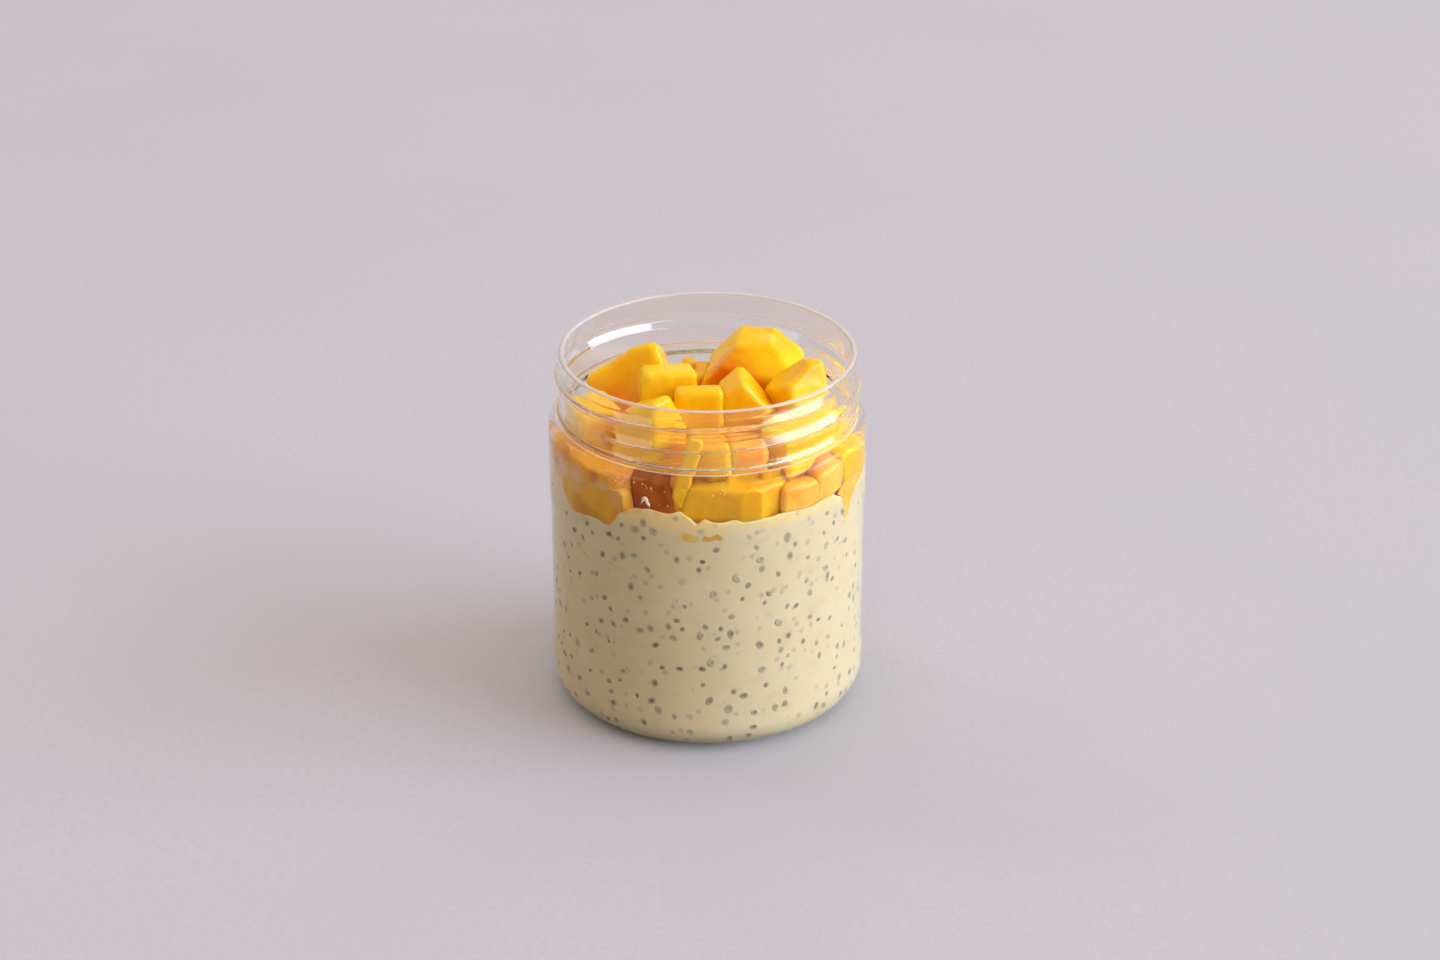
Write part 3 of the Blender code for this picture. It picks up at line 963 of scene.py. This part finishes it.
    def neck_side(self, points: np.ndarray) -> np.ndarray:
        """Which side of the neck's wall the jar's points are on.

        The wall is blown, so both of its sides follow the thread.

        Args:
            points: The points.

        Returns:
            1 for each on the outer side, -1 for each on the inner side and 0 for the others.
        """
        z = points[:, 2]
        on_neck = (z > self.neck_root) & (z < self.height - self.rim_round)
        outer = radii(points) > self.neck_radius - 0.05 * MM
        return np.where(on_neck, np.where(outer, 1.0, -1.0), 0.0)

    def raise_thread(self, jar: bpy.types.Object) -> np.ndarray:
        """Moves the neck's points out to the thread.

        Args:
            jar: The turned jar.

        Returns:
            Which side of the neck's wall each point was on.
        """
        points = points_of(jar)
        side = self.neck_side(points)
        azimuth = azimuths(points)
        rise = np.abs(side) * self.thread_rise(azimuth, points[:, 2])
        points[:, :2] *= (1 + rise / np.maximum(radii(points), MM))[:, None]
        move_points(jar, points)
        return side

    def smooth_thread(self, jar: bpy.types.Object, side: np.ndarray) -> None:
        """Gives the neck's points the thread's own slope, so that its light doesn't ripple.

        Args:
            jar: The finished jar.
            side: Which side of the neck's wall each point is on.
        """
        points = points_of(jar)
        normals = np.empty(len(points) * 3, np.float32)
        jar.data.vertex_normals.foreach_get("vector", normals)
        normals = normals.reshape(-1, 3)
        azimuth = azimuths(points)
        z, step = points[:, 2], 0.02 * MM
        upward = (self.thread_rise(azimuth, z + step) - self.thread_rise(azimuth, z - step)) / (2 * step)
        turn = math.degrees(step / self.neck_radius)
        around = (self.thread_rise(azimuth + turn, z) - self.thread_rise(azimuth - turn, z)) / (2 * step)
        out = np.stack([np.sin(np.radians(azimuth)), -np.cos(np.radians(azimuth)), 0 * z], 1)
        along = np.stack([np.cos(np.radians(azimuth)), np.sin(np.radians(azimuth)), 0 * z], 1)
        slope = out - around[:, None] * along - upward[:, None] * np.array([0, 0, 1.0])
        slope *= (side / np.linalg.norm(slope, axis=1))[:, None]
        straight_wall = (side != 0) & (z > self.neck_root + self.root_fillet + 0.4 * MM)
        normals = np.where(straight_wall[:, None], slope, normals)
        jar.data.normals_split_custom_set_from_vertices(normals.tolist())


# ------------------------------------------------------------------ the pudding


@dataclass
class Pudding:
    """The set pudding, which reaches just into the jar's wall, and the seeds at its side."""

    jar: Jar
    reach: float = 0.04 * MM
    level: float = 58.4 * MM
    steps: int = 360
    side_step: float = 0.8 * MM
    # How far the top falls just behind the wall, and between which distances from it
    behind_wall: float = 1.8 * MM
    behind_edge: Point = (0.25 * MM, 1.6 * MM)
    rough_top: float = 0.28 * MM
    # Below this height the uneven top doesn't move the side
    still_below: float = 8 * MM
    # Where the cream meets the wall: azimuth and height in millimetres
    line: tuple[Point, ...] = (
        (-180, 58.4), (-145, 59.2), (-128, 59.5), (-112, 63.0), (-98, 66.2), (-86, 66.0), (-78, 61.4),
        (-67, 58.8), (-62.5, 55.4), (-58, 53.3), (-52, 53.8), (-46, 54.4), (-38, 54.0), (-32, 58.4),
        (-27, 60.2), (-22, 60.5), (-14, 60.2), (-10, 61.0), (-7, 59.6),
        (-3.8, 58.1), (-1, 59.1), (2, 58.3), (6, 58.1), (10, 58.8), (13, 58.1), (22, 58.3), (29, 58.7),
        (40, 58.2), (46, 58.8), (51.5, 58.7), (54, 57.5), (59.5, 56.4), (65, 56.0), (70, 56.9), (76, 58.2),
        (82, 60.4), (88, 62.0), (98, 61.0), (112, 58.5), (126, 57.4), (150, 57.8),
    )
    seed_count: int = 440
    seed_length: Point = (2.3 * MM, 3.1 * MM)
    seed_spacing: float = 2.2 * MM
    seed_z: Point = (2.6 * MM, 58 * MM)
    # From the first of these depths under the mango the seeds set in, and at the second they are dense
    seed_sparse: Point = (0.8 * MM, 4.5 * MM)
    # Where the two scraps of mango lie, which the seeds leave free: azimuths and heights
    scraps: tuple[Point, Point] = ((-12, 8), (52.4 * MM, 56.8 * MM))
    # A seed's width and thickness as shares of its length, and its depth as a share of its thickness
    seed_width: Point = (0.66, 0.86)
    seed_thickness: float = 0.62
    seed_depth: Point = (0.12, 0.40)
    seed_reach: float = 0.08 * MM
    seed_tones: tuple[float, ...] = (0.0, 0.1, 0.2, 0.3, 0.4, 0.5, 0.6, 0.7)
    # Painted light: how much paler the seeds are painted on the lit side, from 60 degrees on
    seed_lit: float = 0.25

    def cream_line(self, azimuth: np.ndarray) -> np.ndarray:
        """Height at which the cream meets the wall.

        Args:
            azimuth: Azimuths in degrees.

        Returns:
            The heights.
        """
        at, height = np.array(self.line).T
        at, height = np.append(at, at[0] + 360), np.append(height, height[0])
        turned = (azimuth + 180) % 360 - 180
        index = np.clip(np.searchsorted(at, turned, side="right") - 1, 0, len(at) - 2)
        share = smooth_step(at[index], at[index + 1], turned)
        return (height[index] + (height[index + 1] - height[index]) * share) * MM

    def build(self) -> None:
        """Makes the pudding and its seeds."""
        side = self.jar.body_inside + self.reach
        top = [(side * (1 - (1 - share) ** 1.6), self.level) for share in np.linspace(0, 1, 56)]
        down = self.jar.inside(self.reach)[::-1]
        profile = top + straight(top[-1], down[0], self.side_step) + down
        body = turn_profile("pudding_body", profile, self.steps)
        points = points_of(body)
        radius, line = radii(points), self.cream_line(azimuths(points))
        rough = lumpiness(points, 2.6 * MM, 1.1 * MM) * self.rough_top
        surface = self.level + (line - self.level) * (radius / side) ** 4 + rough
        surface -= self.behind_wall * smooth_step(*self.behind_edge, side - radius)
        floor = self.still_below
        share = np.clip((points[:, 2] - floor) / (self.level - floor), 0, None)
        points[:, 2] = np.where(share > 0, floor + share * (surface - floor), points[:, 2])
        move_points(body, points)
        body.data.materials.append(PuddingFinish().material("set_chia_cream"))
        finish_piece(body, ["pudding"])
        self.add_seeds()

    def seed_places(self) -> list[tuple[float, float]]:
        """Places for the seeds at the wall, spread evenly, sparser just under the mango.

        Returns:
            The (azimuth in degrees, height) of each.
        """
        draw = random.Random(7)
        radius = self.jar.body_inside
        (left, right), (low, high) = self.scraps
        places: list[tuple[float, float]] = []
        for _ in range(60 * self.seed_count):
            azimuth = draw.uniform(-180, 180)
            height = draw.uniform(*self.seed_z)
            depth = float(self.cream_line(np.array(azimuth))) - height
            on_scrap = left < azimuth < right and low < height < high
            if on_scrap or draw.random() > float(smooth_step(*self.seed_sparse, np.array(depth))):
                continue
            across = [math.radians((azimuth - a + 180) % 360 - 180) * radius for a, _ in places]
            gaps = [math.hypot(x, height - z) for x, (_, z) in zip(across, places)]
            if min(gaps, default=1.0) >= self.seed_spacing:
                places.append((azimuth, height))
            if len(places) == self.seed_count:
                break
        return places

    def add_seeds(self) -> None:
        """Makes the seeds as one mesh of copies of a small swollen seed, whose poles face in and out."""
        deselect_all()
        bpy.ops.mesh.primitive_uv_sphere_add(
            segments=10, ring_count=6, radius=0.5, rotation=(math.pi / 2, 0, 0),
        )
        bpy.ops.object.transform_apply(rotation=True)
        seed = bpy.context.object
        seed.name = seed.data.name = "chia_seeds"
        shape = points_of(seed)
        core = 1 - np.hypot(shape[:, 0], shape[:, 2]) / 0.5
        faces = [list(face.vertices) for face in seed.data.polygons]
        draw = random.Random(23)
        copies, tones = [], []
        for azimuth, height in self.seed_places():
            length = draw.uniform(*self.seed_length)
            thick = length * self.seed_thickness
            size = np.array([length * draw.uniform(*self.seed_width), thick, length])
            lean = Matrix.Rotation(math.radians(draw.uniform(0, 180)), 3, "Y")
            depth = draw.uniform(*self.seed_depth) * thick
            at = shape * size @ np.array(lean.transposed())
            wall = float(self.jar.wall_radius(np.array(height)))
            at[:, 1] -= wall - depth
            at = at @ np.array(Matrix.Rotation(math.radians(azimuth), 3, "Z").transposed())
            at[:, 2] += height
            limit = self.jar.wall_radius(at[:, 2], self.seed_reach)
            at[:, :2] *= np.minimum(1, limit / radii(at))[:, None]
            copies.append(at)
            # Painted light: seeds towards the lit side get paler tones
            lit = self.seed_lit * float(smooth_step(0, 60, np.array(azimuth)))
            tones.append(min(1.0, draw.choice(self.seed_tones) + lit))
        seed.data = mesh_of_copies("chia_seeds", copies, faces)
        cores, tones = np.tile(core, len(copies)), np.repeat(tones, len(shape))
        for name, values in ((PuddingFinish.core, cores), (PuddingFinish.tone, tones)):
            attribute = seed.data.attributes.new(name, "FLOAT", "POINT")
            attribute.data.foreach_set("value", values.astype(np.float32))
        seed.data.materials.append(bpy.data.materials["set_chia_cream"])
        finish_piece(seed)


# ------------------------------------------------------------------ the mango


@dataclass
class MangoHeap:
    """The mango dice: the part's solids made soft, uneven and moist."""

    jar: Jar
    voxel: float = 0.32 * MM
    rounding: int = 10
    swell: float = 0.56 * MM
    uneven: float = 1.0 * MM
    grain: float = 0.05 * MM
    # A piece thinner than this is a strip or a crumb, and is shaped more finely
    small: float = 4 * MM
    clear_of_wall: float = 0.12 * MM
    # A piece that touches the wall reaches into it, and its side near it is pushed out and so flat
    into_wall: float = 0.03 * MM
    push: float = 0.75 * MM
    push_near: Point = (-1.8 * MM, -0.4 * MM)
    # How far below the rim a piece's top starts to be held back
    top_soft: float = 0.8 * MM
    pressed: tuple[str, ...] = (
        "ring_left", "ring_near_left", "ring_front_left", "ring_front", "ring_far_right", "ring_far_left",
        "ring_back_2", "ring_back_3", "ring_back_5", "ring_back_6", "neck_right",
    )
    tones: dict[str, Flesh] = field(default_factory=lambda: {
        "ring_front_left": Flesh.AMBER, "ring_left": Flesh.OLIVE, "ring_front_right": Flesh.PEACH,
        "ring_right": Flesh.PEACH, "neck_front_right": Flesh.PEACH, "ring_front": Flesh.HONEY,
        "neck_front": Flesh.HONEY, "ring_far_right": Flesh.RIPE,
        "crown_middle_left": Flesh.GOLDEN, "crown_front_left": Flesh.RIPE, "crown_right": Flesh.RIPE,
        "neck_right": Flesh.GOLDEN, "crown_back_right": Flesh.LARGE, "sliver_front": Flesh.STRIP,
        "crown_back_left": Flesh.DEEP, "crown_back_small": Flesh.DEEP, "ring_near_left": Flesh.HAZE,
        "ring_far_left": Flesh.HAZE, "crumb_back": Flesh.GREENISH,
    })

    def build(self, nodes: dict[str, bpy.types.Object]) -> None:
        """Makes one soft piece for each of the part's mango solids.

        Args:
            nodes: The part's solids by name.
        """
        finishes = {tone: tone.value.material("mango_" + tone.name.lower()) for tone in Flesh}
        reliefs = []
        for name, wave, strength in (("clouds", 8 * MM, self.uneven), ("pores", 1.6 * MM, self.grain)):
            texture = bpy.data.textures.new("mango_" + name, "CLOUDS")
            texture.noise_scale = wave
            reliefs.append((texture, strength))
        for name in sorted(nodes):
            if not name.startswith("mango_"):
                continue
            short = name.removeprefix("mango_")
            piece = self.soften(nodes[name], "dice_" + short, reliefs)
            self.press(piece, short in self.pressed)
            piece.data.materials.clear()
            piece.data.materials.append(finishes[self.tones.get(short, Flesh.RIPE)])
            finish_piece(piece, [name])

    def soften(
        self, node: bpy.types.Object, name: str, reliefs: Sequence[tuple[bpy.types.Texture, float]]
    ) -> bpy.types.Object:
        """Copies a solid and makes its faces uneven and its edges soft.

        Args:
            node: The part's solid.
            name: The new piece's name.
            reliefs: What makes its faces uneven, and how much of it.

        Returns:
            The soft piece.
        """
        piece = add_object(name, node.data.copy())
        merge_and_face_out(piece)
        small = min(node.dimensions) < self.small
        soften_edges(piece, self.voxel * (0.5 if small else 1.0), 4 if small else self.rounding)
        for texture, strength in reliefs:
            displace = piece.modifiers.new(texture.name, "DISPLACE")
            displace.texture = texture
            displace.texture_coords = "LOCAL"
            displace.mid_level = 0.5
            displace.strength = strength * (0.35 if small else 1.0)
        grow = piece.modifiers.new("Swell", "DISPLACE")
        grow.mid_level = 0
        grow.strength = self.swell
        apply_modifiers(piece)
        return piece

    def press(self, piece: bpy.types.Object, touches: bool) -> None:
        """Keeps a piece inside the jar and no higher than its rim, or presses its side flat into the wall.

        Args:
            piece: The soft piece.
            touches: Whether it lies against the wall.
        """
        points = points_of(piece)
        radius = radii(points)
        wall = self.jar.wall_radius(points[:, 2], self.into_wall if touches else -self.clear_of_wall)
        push = self.push * smooth_step(*self.push_near, radius - wall) if touches else 0
        points[:, :2] *= (np.minimum(radius + push, wall) / radius)[:, None]
        below_rim = self.jar.height - self.top_soft
        over = np.maximum(points[:, 2] - below_rim, 0)
        points[:, 2] = np.minimum(points[:, 2], below_rim) + self.top_soft * np.tanh(over / self.top_soft)
        move_points(piece, points)


@dataclass
class Pulp:
    """Crushed mango and juice that fill the space between the dice."""

    jar: Jar
    # Radius and height in millimetres, from the top's middle outwards and down
    profile: tuple[Point, ...] = (
        (0.0, 69.6), (10.0, 69.8), (20.0, 70.0), (24.5, 69.6), (26.6, 68.4), (27.8, 67.0), (29.4, 65.6),
        (30.6, 64.0), (31.0, 62.0), (31.2, 60.0), (31.4, 57.0), (31.0, 54.0), (24.0, 53.0), (0.0, 53.0),
    )
    lumps: float = 0.8 * MM
    side_step: float = 0.9 * MM
    steps: int = 180
    # Where it lies against the wall, as azimuths and as heights in millimetres: it comes to the wall over
    # the first two and leaves it over the last two
    wall_azimuths: tuple[Point, Point] = ((-109.0, -91.0), (-40.0, -26.0))
    wall_heights: tuple[Point, Point] = ((54.5, 57.0), (65.9, 68.9))
    # Only what lies further out than this goes to the wall, and only what lies higher is lumpy on top
    outer_part: float = 25 * MM
    lumpy_above: float = 62 * MM
    # How far it reaches into the wall there, and how much further in it stays elsewhere
    reach: float = 0.02 * MM
    clear_of_wall: float = 0.17 * MM

    def build(self) -> None:
        """Turns the pulp and makes it lumpy."""
        points = [(radius * MM, z * MM) for radius, z in self.profile]
        profile = points[:1]
        for start, end in zip(points, points[1:]):
            profile += straight(start, end, self.side_step) + [end]
        pulp = turn_profile("mango_pulp", profile, self.steps)
        at = points_of(pulp)
        lump = self.lumps * lumpiness(at, 5 * MM, 1.8 * MM)
        radius = np.maximum(radii(at), MM)
        there = (radius > self.outer_part).astype(float)
        for value, (come, leave) in ((azimuths(at), self.wall_azimuths), (at[:, 2] / MM, self.wall_heights)):
            there = there * smooth_step(*come, value) * (1 - smooth_step(*leave, value))
        grown = radius + lump
        grown = grown + (self.jar.body_radius - grown) * there
        limit = self.jar.wall_radius(at[:, 2], self.reach) - self.clear_of_wall * (1 - there)
        at[:, :2] *= (np.minimum(grown, limit) / radius)[:, None]
        at[:, 2] += lump * (at[:, 2] > self.lumpy_above)
        move_points(pulp, at)
        pulp.data.materials.append(Flesh.PULP.value.material("crushed_mango"))
        finish_piece(pulp)


@dataclass(frozen=True)
class PatchFinish(Finish):
    """A thin film or scrap that lies against the wall."""

    bright: Colour
    deep: Colour

    def paint(self, look: Look) -> None:
        """Wires the finish into a material.

        Args:
            look: The material under construction.
        """
        colour = look.mix(look.ramp(look.noise(420, 4), 0.38, 0.64), self.bright, self.deep)
        look.shade(
            Base_Color=colour, Roughness=0.45, Specular_IOR_Level=0.2,
            Subsurface_Weight=0.3, Subsurface_Scale=MM, Subsurface_Radius=(1.5, 0.8, 0.3),
        )


@dataclass(frozen=True)
class WallPatch:
    """A thin patch against the inner side of the wall, such as a drip, a film of juice or a scrap.

    Its outline is drawn on the unrolled wall: azimuths in degrees and heights in millimetres.
    """

    name: str
    outline: tuple[Point, ...]
    finish: PatchFinish
    slot: Slot = Slot.MANGO
    thickness: float = 0.45 * MM
    reach: float = 0.075 * MM
    voxel: float = 0.13 * MM

    def build(self, jar: Jar) -> None:
        """Draws the patch flat, thickens and rounds it, and wraps it onto the wall.

        Args:
            jar: The jar that it lies in.
        """
        radius = jar.body_inside
        flat = [(math.radians(a) * radius, 0, z * MM) for a, z in self.outline]
        mesh = bpy.data.meshes.new(self.name)
        mesh.from_pydata(flat, [], [list(range(len(flat)))])
        patch = add_object(self.name, mesh)
        make_active(patch)
        bpy.ops.object.mode_set(mode="EDIT")
        bpy.ops.mesh.select_all(action="SELECT")
        bpy.ops.mesh.extrude_region_move(TRANSFORM_OT_translate={"value": (0, self.thickness, 0)})
        bpy.ops.object.mode_set(mode="OBJECT")
        merge_and_face_out(patch)
        soften_edges(patch, self.voxel, 4)
        apply_modifiers(patch)
        points = points_of(patch)
        depth = points[:, 1] - points[:, 1].min()
        ragged = np.array([noise.noise(Vector(p) / (1.3 * MM)) for p in points]) * 0.25 * MM
        height = points[:, 2] + ragged
        angle = points[:, 0] / radius + ragged / radius
        out = jar.wall_radius(height, self.reach) - depth
        points = np.stack([out * np.sin(angle), -out * np.cos(angle), height], 1)
        move_points(patch, points)
        patch.data.materials.append(self.finish.material(self.name))
        finish_piece(patch)


class Patches(Enum):
    """What clings to the wall or lies in the pudding against it."""

    DRIP_RIGHT = WallPatch(
        "juice_drip_right",
        ((54.5, 58.2), (57.2, 56.2), (58.0, 54.4), (58.2, 52.8), (58.6, 51.4), (60.0, 50.9), (61.6, 51.6),
         (62.8, 53.2), (63.8, 54.6), (66.5, 55.9), (70.5, 57.0), (75.5, 58.2), (72.0, 59.4), (66.0, 60.2),
         (59.0, 60.0)),
        PatchFinish((0.96, 0.57, 0.07), (0.94, 0.48, 0.04)),
    )
    SCRAP_LEFT = WallPatch(
        "mango_scrap_left",
        ((-9.6, 54.2), (-7.4, 53.6), (-4.6, 53.3), (-3.0, 54.0), (-3.2, 55.2), (-5.4, 55.0), (-7.0, 55.8),
         (-8.8, 55.4)),
        PatchFinish((0.86, 0.50, 0.10), (0.82, 0.57, 0.18)),
    )
    SCRAP_RIGHT = WallPatch(
        "mango_scrap_right",
        ((-1.8, 53.9), (0.6, 53.7), (3.0, 54.1), (5.4, 54.0), (5.6, 54.8), (3.4, 55.6), (0.8, 54.9),
         (-1.4, 55.3)),
        PatchFinish((0.80, 0.38, 0.05), (0.74, 0.42, 0.10)),
    )
    GREEN_SPECK = WallPatch(
        "green_speck",
        ((29.6, 22.4), (30.6, 22.0), (31.6, 22.5), (31.4, 23.1), (30.4, 23.2)),
        PatchFinish((0.62, 0.60, 0.10), (0.55, 0.50, 0.10)),
        voxel=0.1 * MM,
    )
    SPECK = WallPatch(
        "cream_speck",
        ((-24.0, 62.9), (-23.1, 63.3), (-22.1, 62.9), (-21.5, 62.1), (-20.6, 61.4), (-21.6, 61.2),
         (-22.3, 61.9), (-22.8, 62.5), (-23.5, 62.0), (-24.1, 61.5), (-23.9, 62.3)),
        PatchFinish((0.97, 0.80, 0.56), (0.98, 0.86, 0.68)),
        Slot.PUDDING,
        thickness=0.6 * MM,
    )


@dataclass
class Bubbles:
    """Tiny bubbles and crumbs of pulp in the juice along the wall, as one mesh."""

    jar: Jar
    # From and to, as azimuths and as heights in millimetres, and how many lie there
    bands: tuple[tuple[Point, Point, int], ...] = (
        ((-36, 8), (64.8, 66.4), 34), ((8, 60), (63.0, 66.0), 8), ((-26, -14), (60.5, 63.5), 3),
        ((-80, -40), (57, 66), 8),
    )
    size: Point = (0.08 * MM, 0.18 * MM)
    # How far a bubble's middle stays off the wall, as a share of its size
    off_wall: float = 0.3

    def build(self) -> None:
        """Scatters the bubbles."""
        deselect_all()
        bpy.ops.mesh.primitive_ico_sphere_add(subdivisions=2, radius=1.0)
        bubbles = bpy.context.object
        bubbles.name = "juice_bubbles"
        shape = points_of(bubbles)
        faces = [list(face.vertices) for face in bubbles.data.polygons]
        draw = random.Random(5)
        copies = []
        for (first, last), (low, high), count in self.bands:
            for _ in range(count):
                a = math.radians(draw.uniform(first, last))
                z, size = draw.uniform(low, high) * MM, draw.uniform(*self.size)
                radius = float(self.jar.wall_radius(np.array(z))) - self.off_wall * size
                copies.append(shape * size + (radius * math.sin(a), -radius * math.cos(a), z))
        bubbles.data = mesh_of_copies("juice_bubbles", copies, faces)
        finish = PatchFinish((0.98, 0.74, 0.42), (0.95, 0.56, 0.16))
        bubbles.data.materials.append(finish.material("juice_bubbles"))
        finish_piece(bubbles)


# ------------------------------------------------------------------ the studio


@dataclass(frozen=True)
class Lamp:
    """A soft rectangular lamp that faces the jar, with its place round it in degrees and metres.

    A glint lamp shows only in reflections.
    """

    name: str
    azimuth: float
    elevation: float
    distance: float
    size: Point
    power: float
    colour: Colour
    glint: bool = False

    def hang(self, aim: Vector) -> None:
        """Puts the lamp into the scene.

        Args:
            aim: The point that it faces.
        """
        data = bpy.data.lights.new(self.name, "AREA")
        data.shape = "RECTANGLE"
        data.size, data.size_y = self.size
        data.color = self.colour
        data.energy = self.power
        lamp = add_object(self.name, data)
        lamp.visible_diffuse = lamp.visible_transmission = not self.glint
        aim_object(lamp, aim, self.azimuth, self.elevation, self.distance)


@dataclass
class Studio:
    """A plain pale floor, soft light and the camera."""

    frame: tuple[int, int] = (1440, 960)
    aim: tuple[float, float, float] = (0.0, 0.0, 40.0 * MM)
    aim_pixel: Point = (707.6, 524.4)
    focal_pixels: float = 3265.0
    elevation: float = 27.0
    distance: float = 0.75
    floor_size: float = 6.0
    # The table's colour, its mottling's and its grain's
    table: tuple[Colour, Colour, Colour] = (
        (0.557, 0.578, 0.640), (0.528, 0.557, 0.620), (0.525, 0.547, 0.602),
    )
    lamps: tuple[Lamp, ...] = (
        Lamp("window", 80.0, 22.0, 3.0, (2.8, 1.9), 70.0, (0.91, 0.99, 1.23)),
        Lamp("far_window", -125.0, 34.0, 3.0, (0.5, 1.1), 5.0, (1.05, 0.95, 0.85)),
        Lamp("glint_right", 70.0, 24.0, 2.9, (4.4, 1.3), 85.0, (1.0, 1.0, 1.0), glint=True),
        Lamp("glint_left", -62.0, 22.0, 3.0, (1.5, 1.5), 18.0, (0.95, 0.97, 1.05), glint=True),
    )
    horizon: Colour = (0.15, 0.11, 0.075)
    zenith: Colour = (1.20, 0.99, 0.88)
    # How bright the pale wall behind the table is at the horizon
    back_wall: Colour = (0.56, 0.54, 0.56)
    # Between which rises above the horizon the room turns into its zenith
    room_top: Point = (0.18, 0.98)
    light_bounces: int = 16

    def build(self) -> None:
        """Sets the floor, the lights and the camera."""
        self.lay_floor()
        self.light()
        self.set_camera()

    def lay_floor(self) -> None:
        """Lays a large pale floor with faint mottling."""
        deselect_all()
        bpy.ops.mesh.primitive_plane_add(size=self.floor_size)
        floor = bpy.context.object
        floor.name = "floor"
        look = Look("pale_table")
        mottle = look.ramp(look.noise(9, 4), 0.35, 0.7)
        grain = look.ramp(look.noise(700, 2), 0.3, 0.7)
        plain, mottled, grained = self.table
        look.shade(
            Base_Color=look.mix(grain, look.mix(mottle, plain, mottled), grained), Roughness=0.8,
            Specular_IOR_Level=0.3, Normal=look.bump(look.noise(1500, 2), 0.05 * MM),
        )
        floor.data.materials.append(look.material)

    def light(self) -> None:
        """Hangs the lamps and lets a pale room do the rest."""
        world = bpy.data.worlds.new("soft_room")
        world.use_nodes = True
        room = Wiring(world.node_tree)
        way = room.node("ShaderNodeTexCoord").outputs["Generated"]
        low = room.mix(room.ramp(room.axis(way, "Y"), 0.0, 1.0), self.horizon, self.back_wall)
        blend = room.mix(room.ramp(room.axis(way, "Z"), *self.room_top), low, self.zenith)
        room.feed(world.node_tree.nodes["Background"], Color=blend)
        scene = bpy.context.scene
        scene.world = world
        for lamp in self.lamps:
            lamp.hang(Vector(self.aim))
        scene.view_settings.view_transform = "Standard"
        scene.cycles.max_bounces = 2 * self.light_bounces
        scene.cycles.glossy_bounces = self.light_bounces
        scene.cycles.transmission_bounces = self.light_bounces
        scene.cycles.caustics_reflective = False

    def set_camera(self) -> None:
        """Places the camera in front of the jar, looking down at it."""
        data = bpy.data.cameras.new("camera")
        camera = add_object("camera", data)
        width, height = self.frame
        data.sensor_width = 36.0
        data.lens = data.sensor_width * self.focal_pixels / width
        data.shift_x = (width / 2 - self.aim_pixel[0]) / width
        data.shift_y = (self.aim_pixel[1] - height / 2) / width
        data.clip_start, data.clip_end = 0.05, 20.0
        aim_object(camera, Vector(self.aim), 0, self.elevation, self.distance)
        bpy.context.scene.camera = camera


def main() -> None:
    """Builds the pieces in order round the part, then the studio."""
    logging.basicConfig(level=logging.INFO, format="%(name)s %(message)s")
    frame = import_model()
    jar = Jar()
    jar.build()
    Pudding(jar).build()
    MangoHeap(jar).build(frame["nodes"])
    Pulp(jar).build()
    for patch in Patches:
        patch.value.build(jar)
    Bubbles(jar).build()
    Studio().build()


if __name__ == "__main__":
    main()
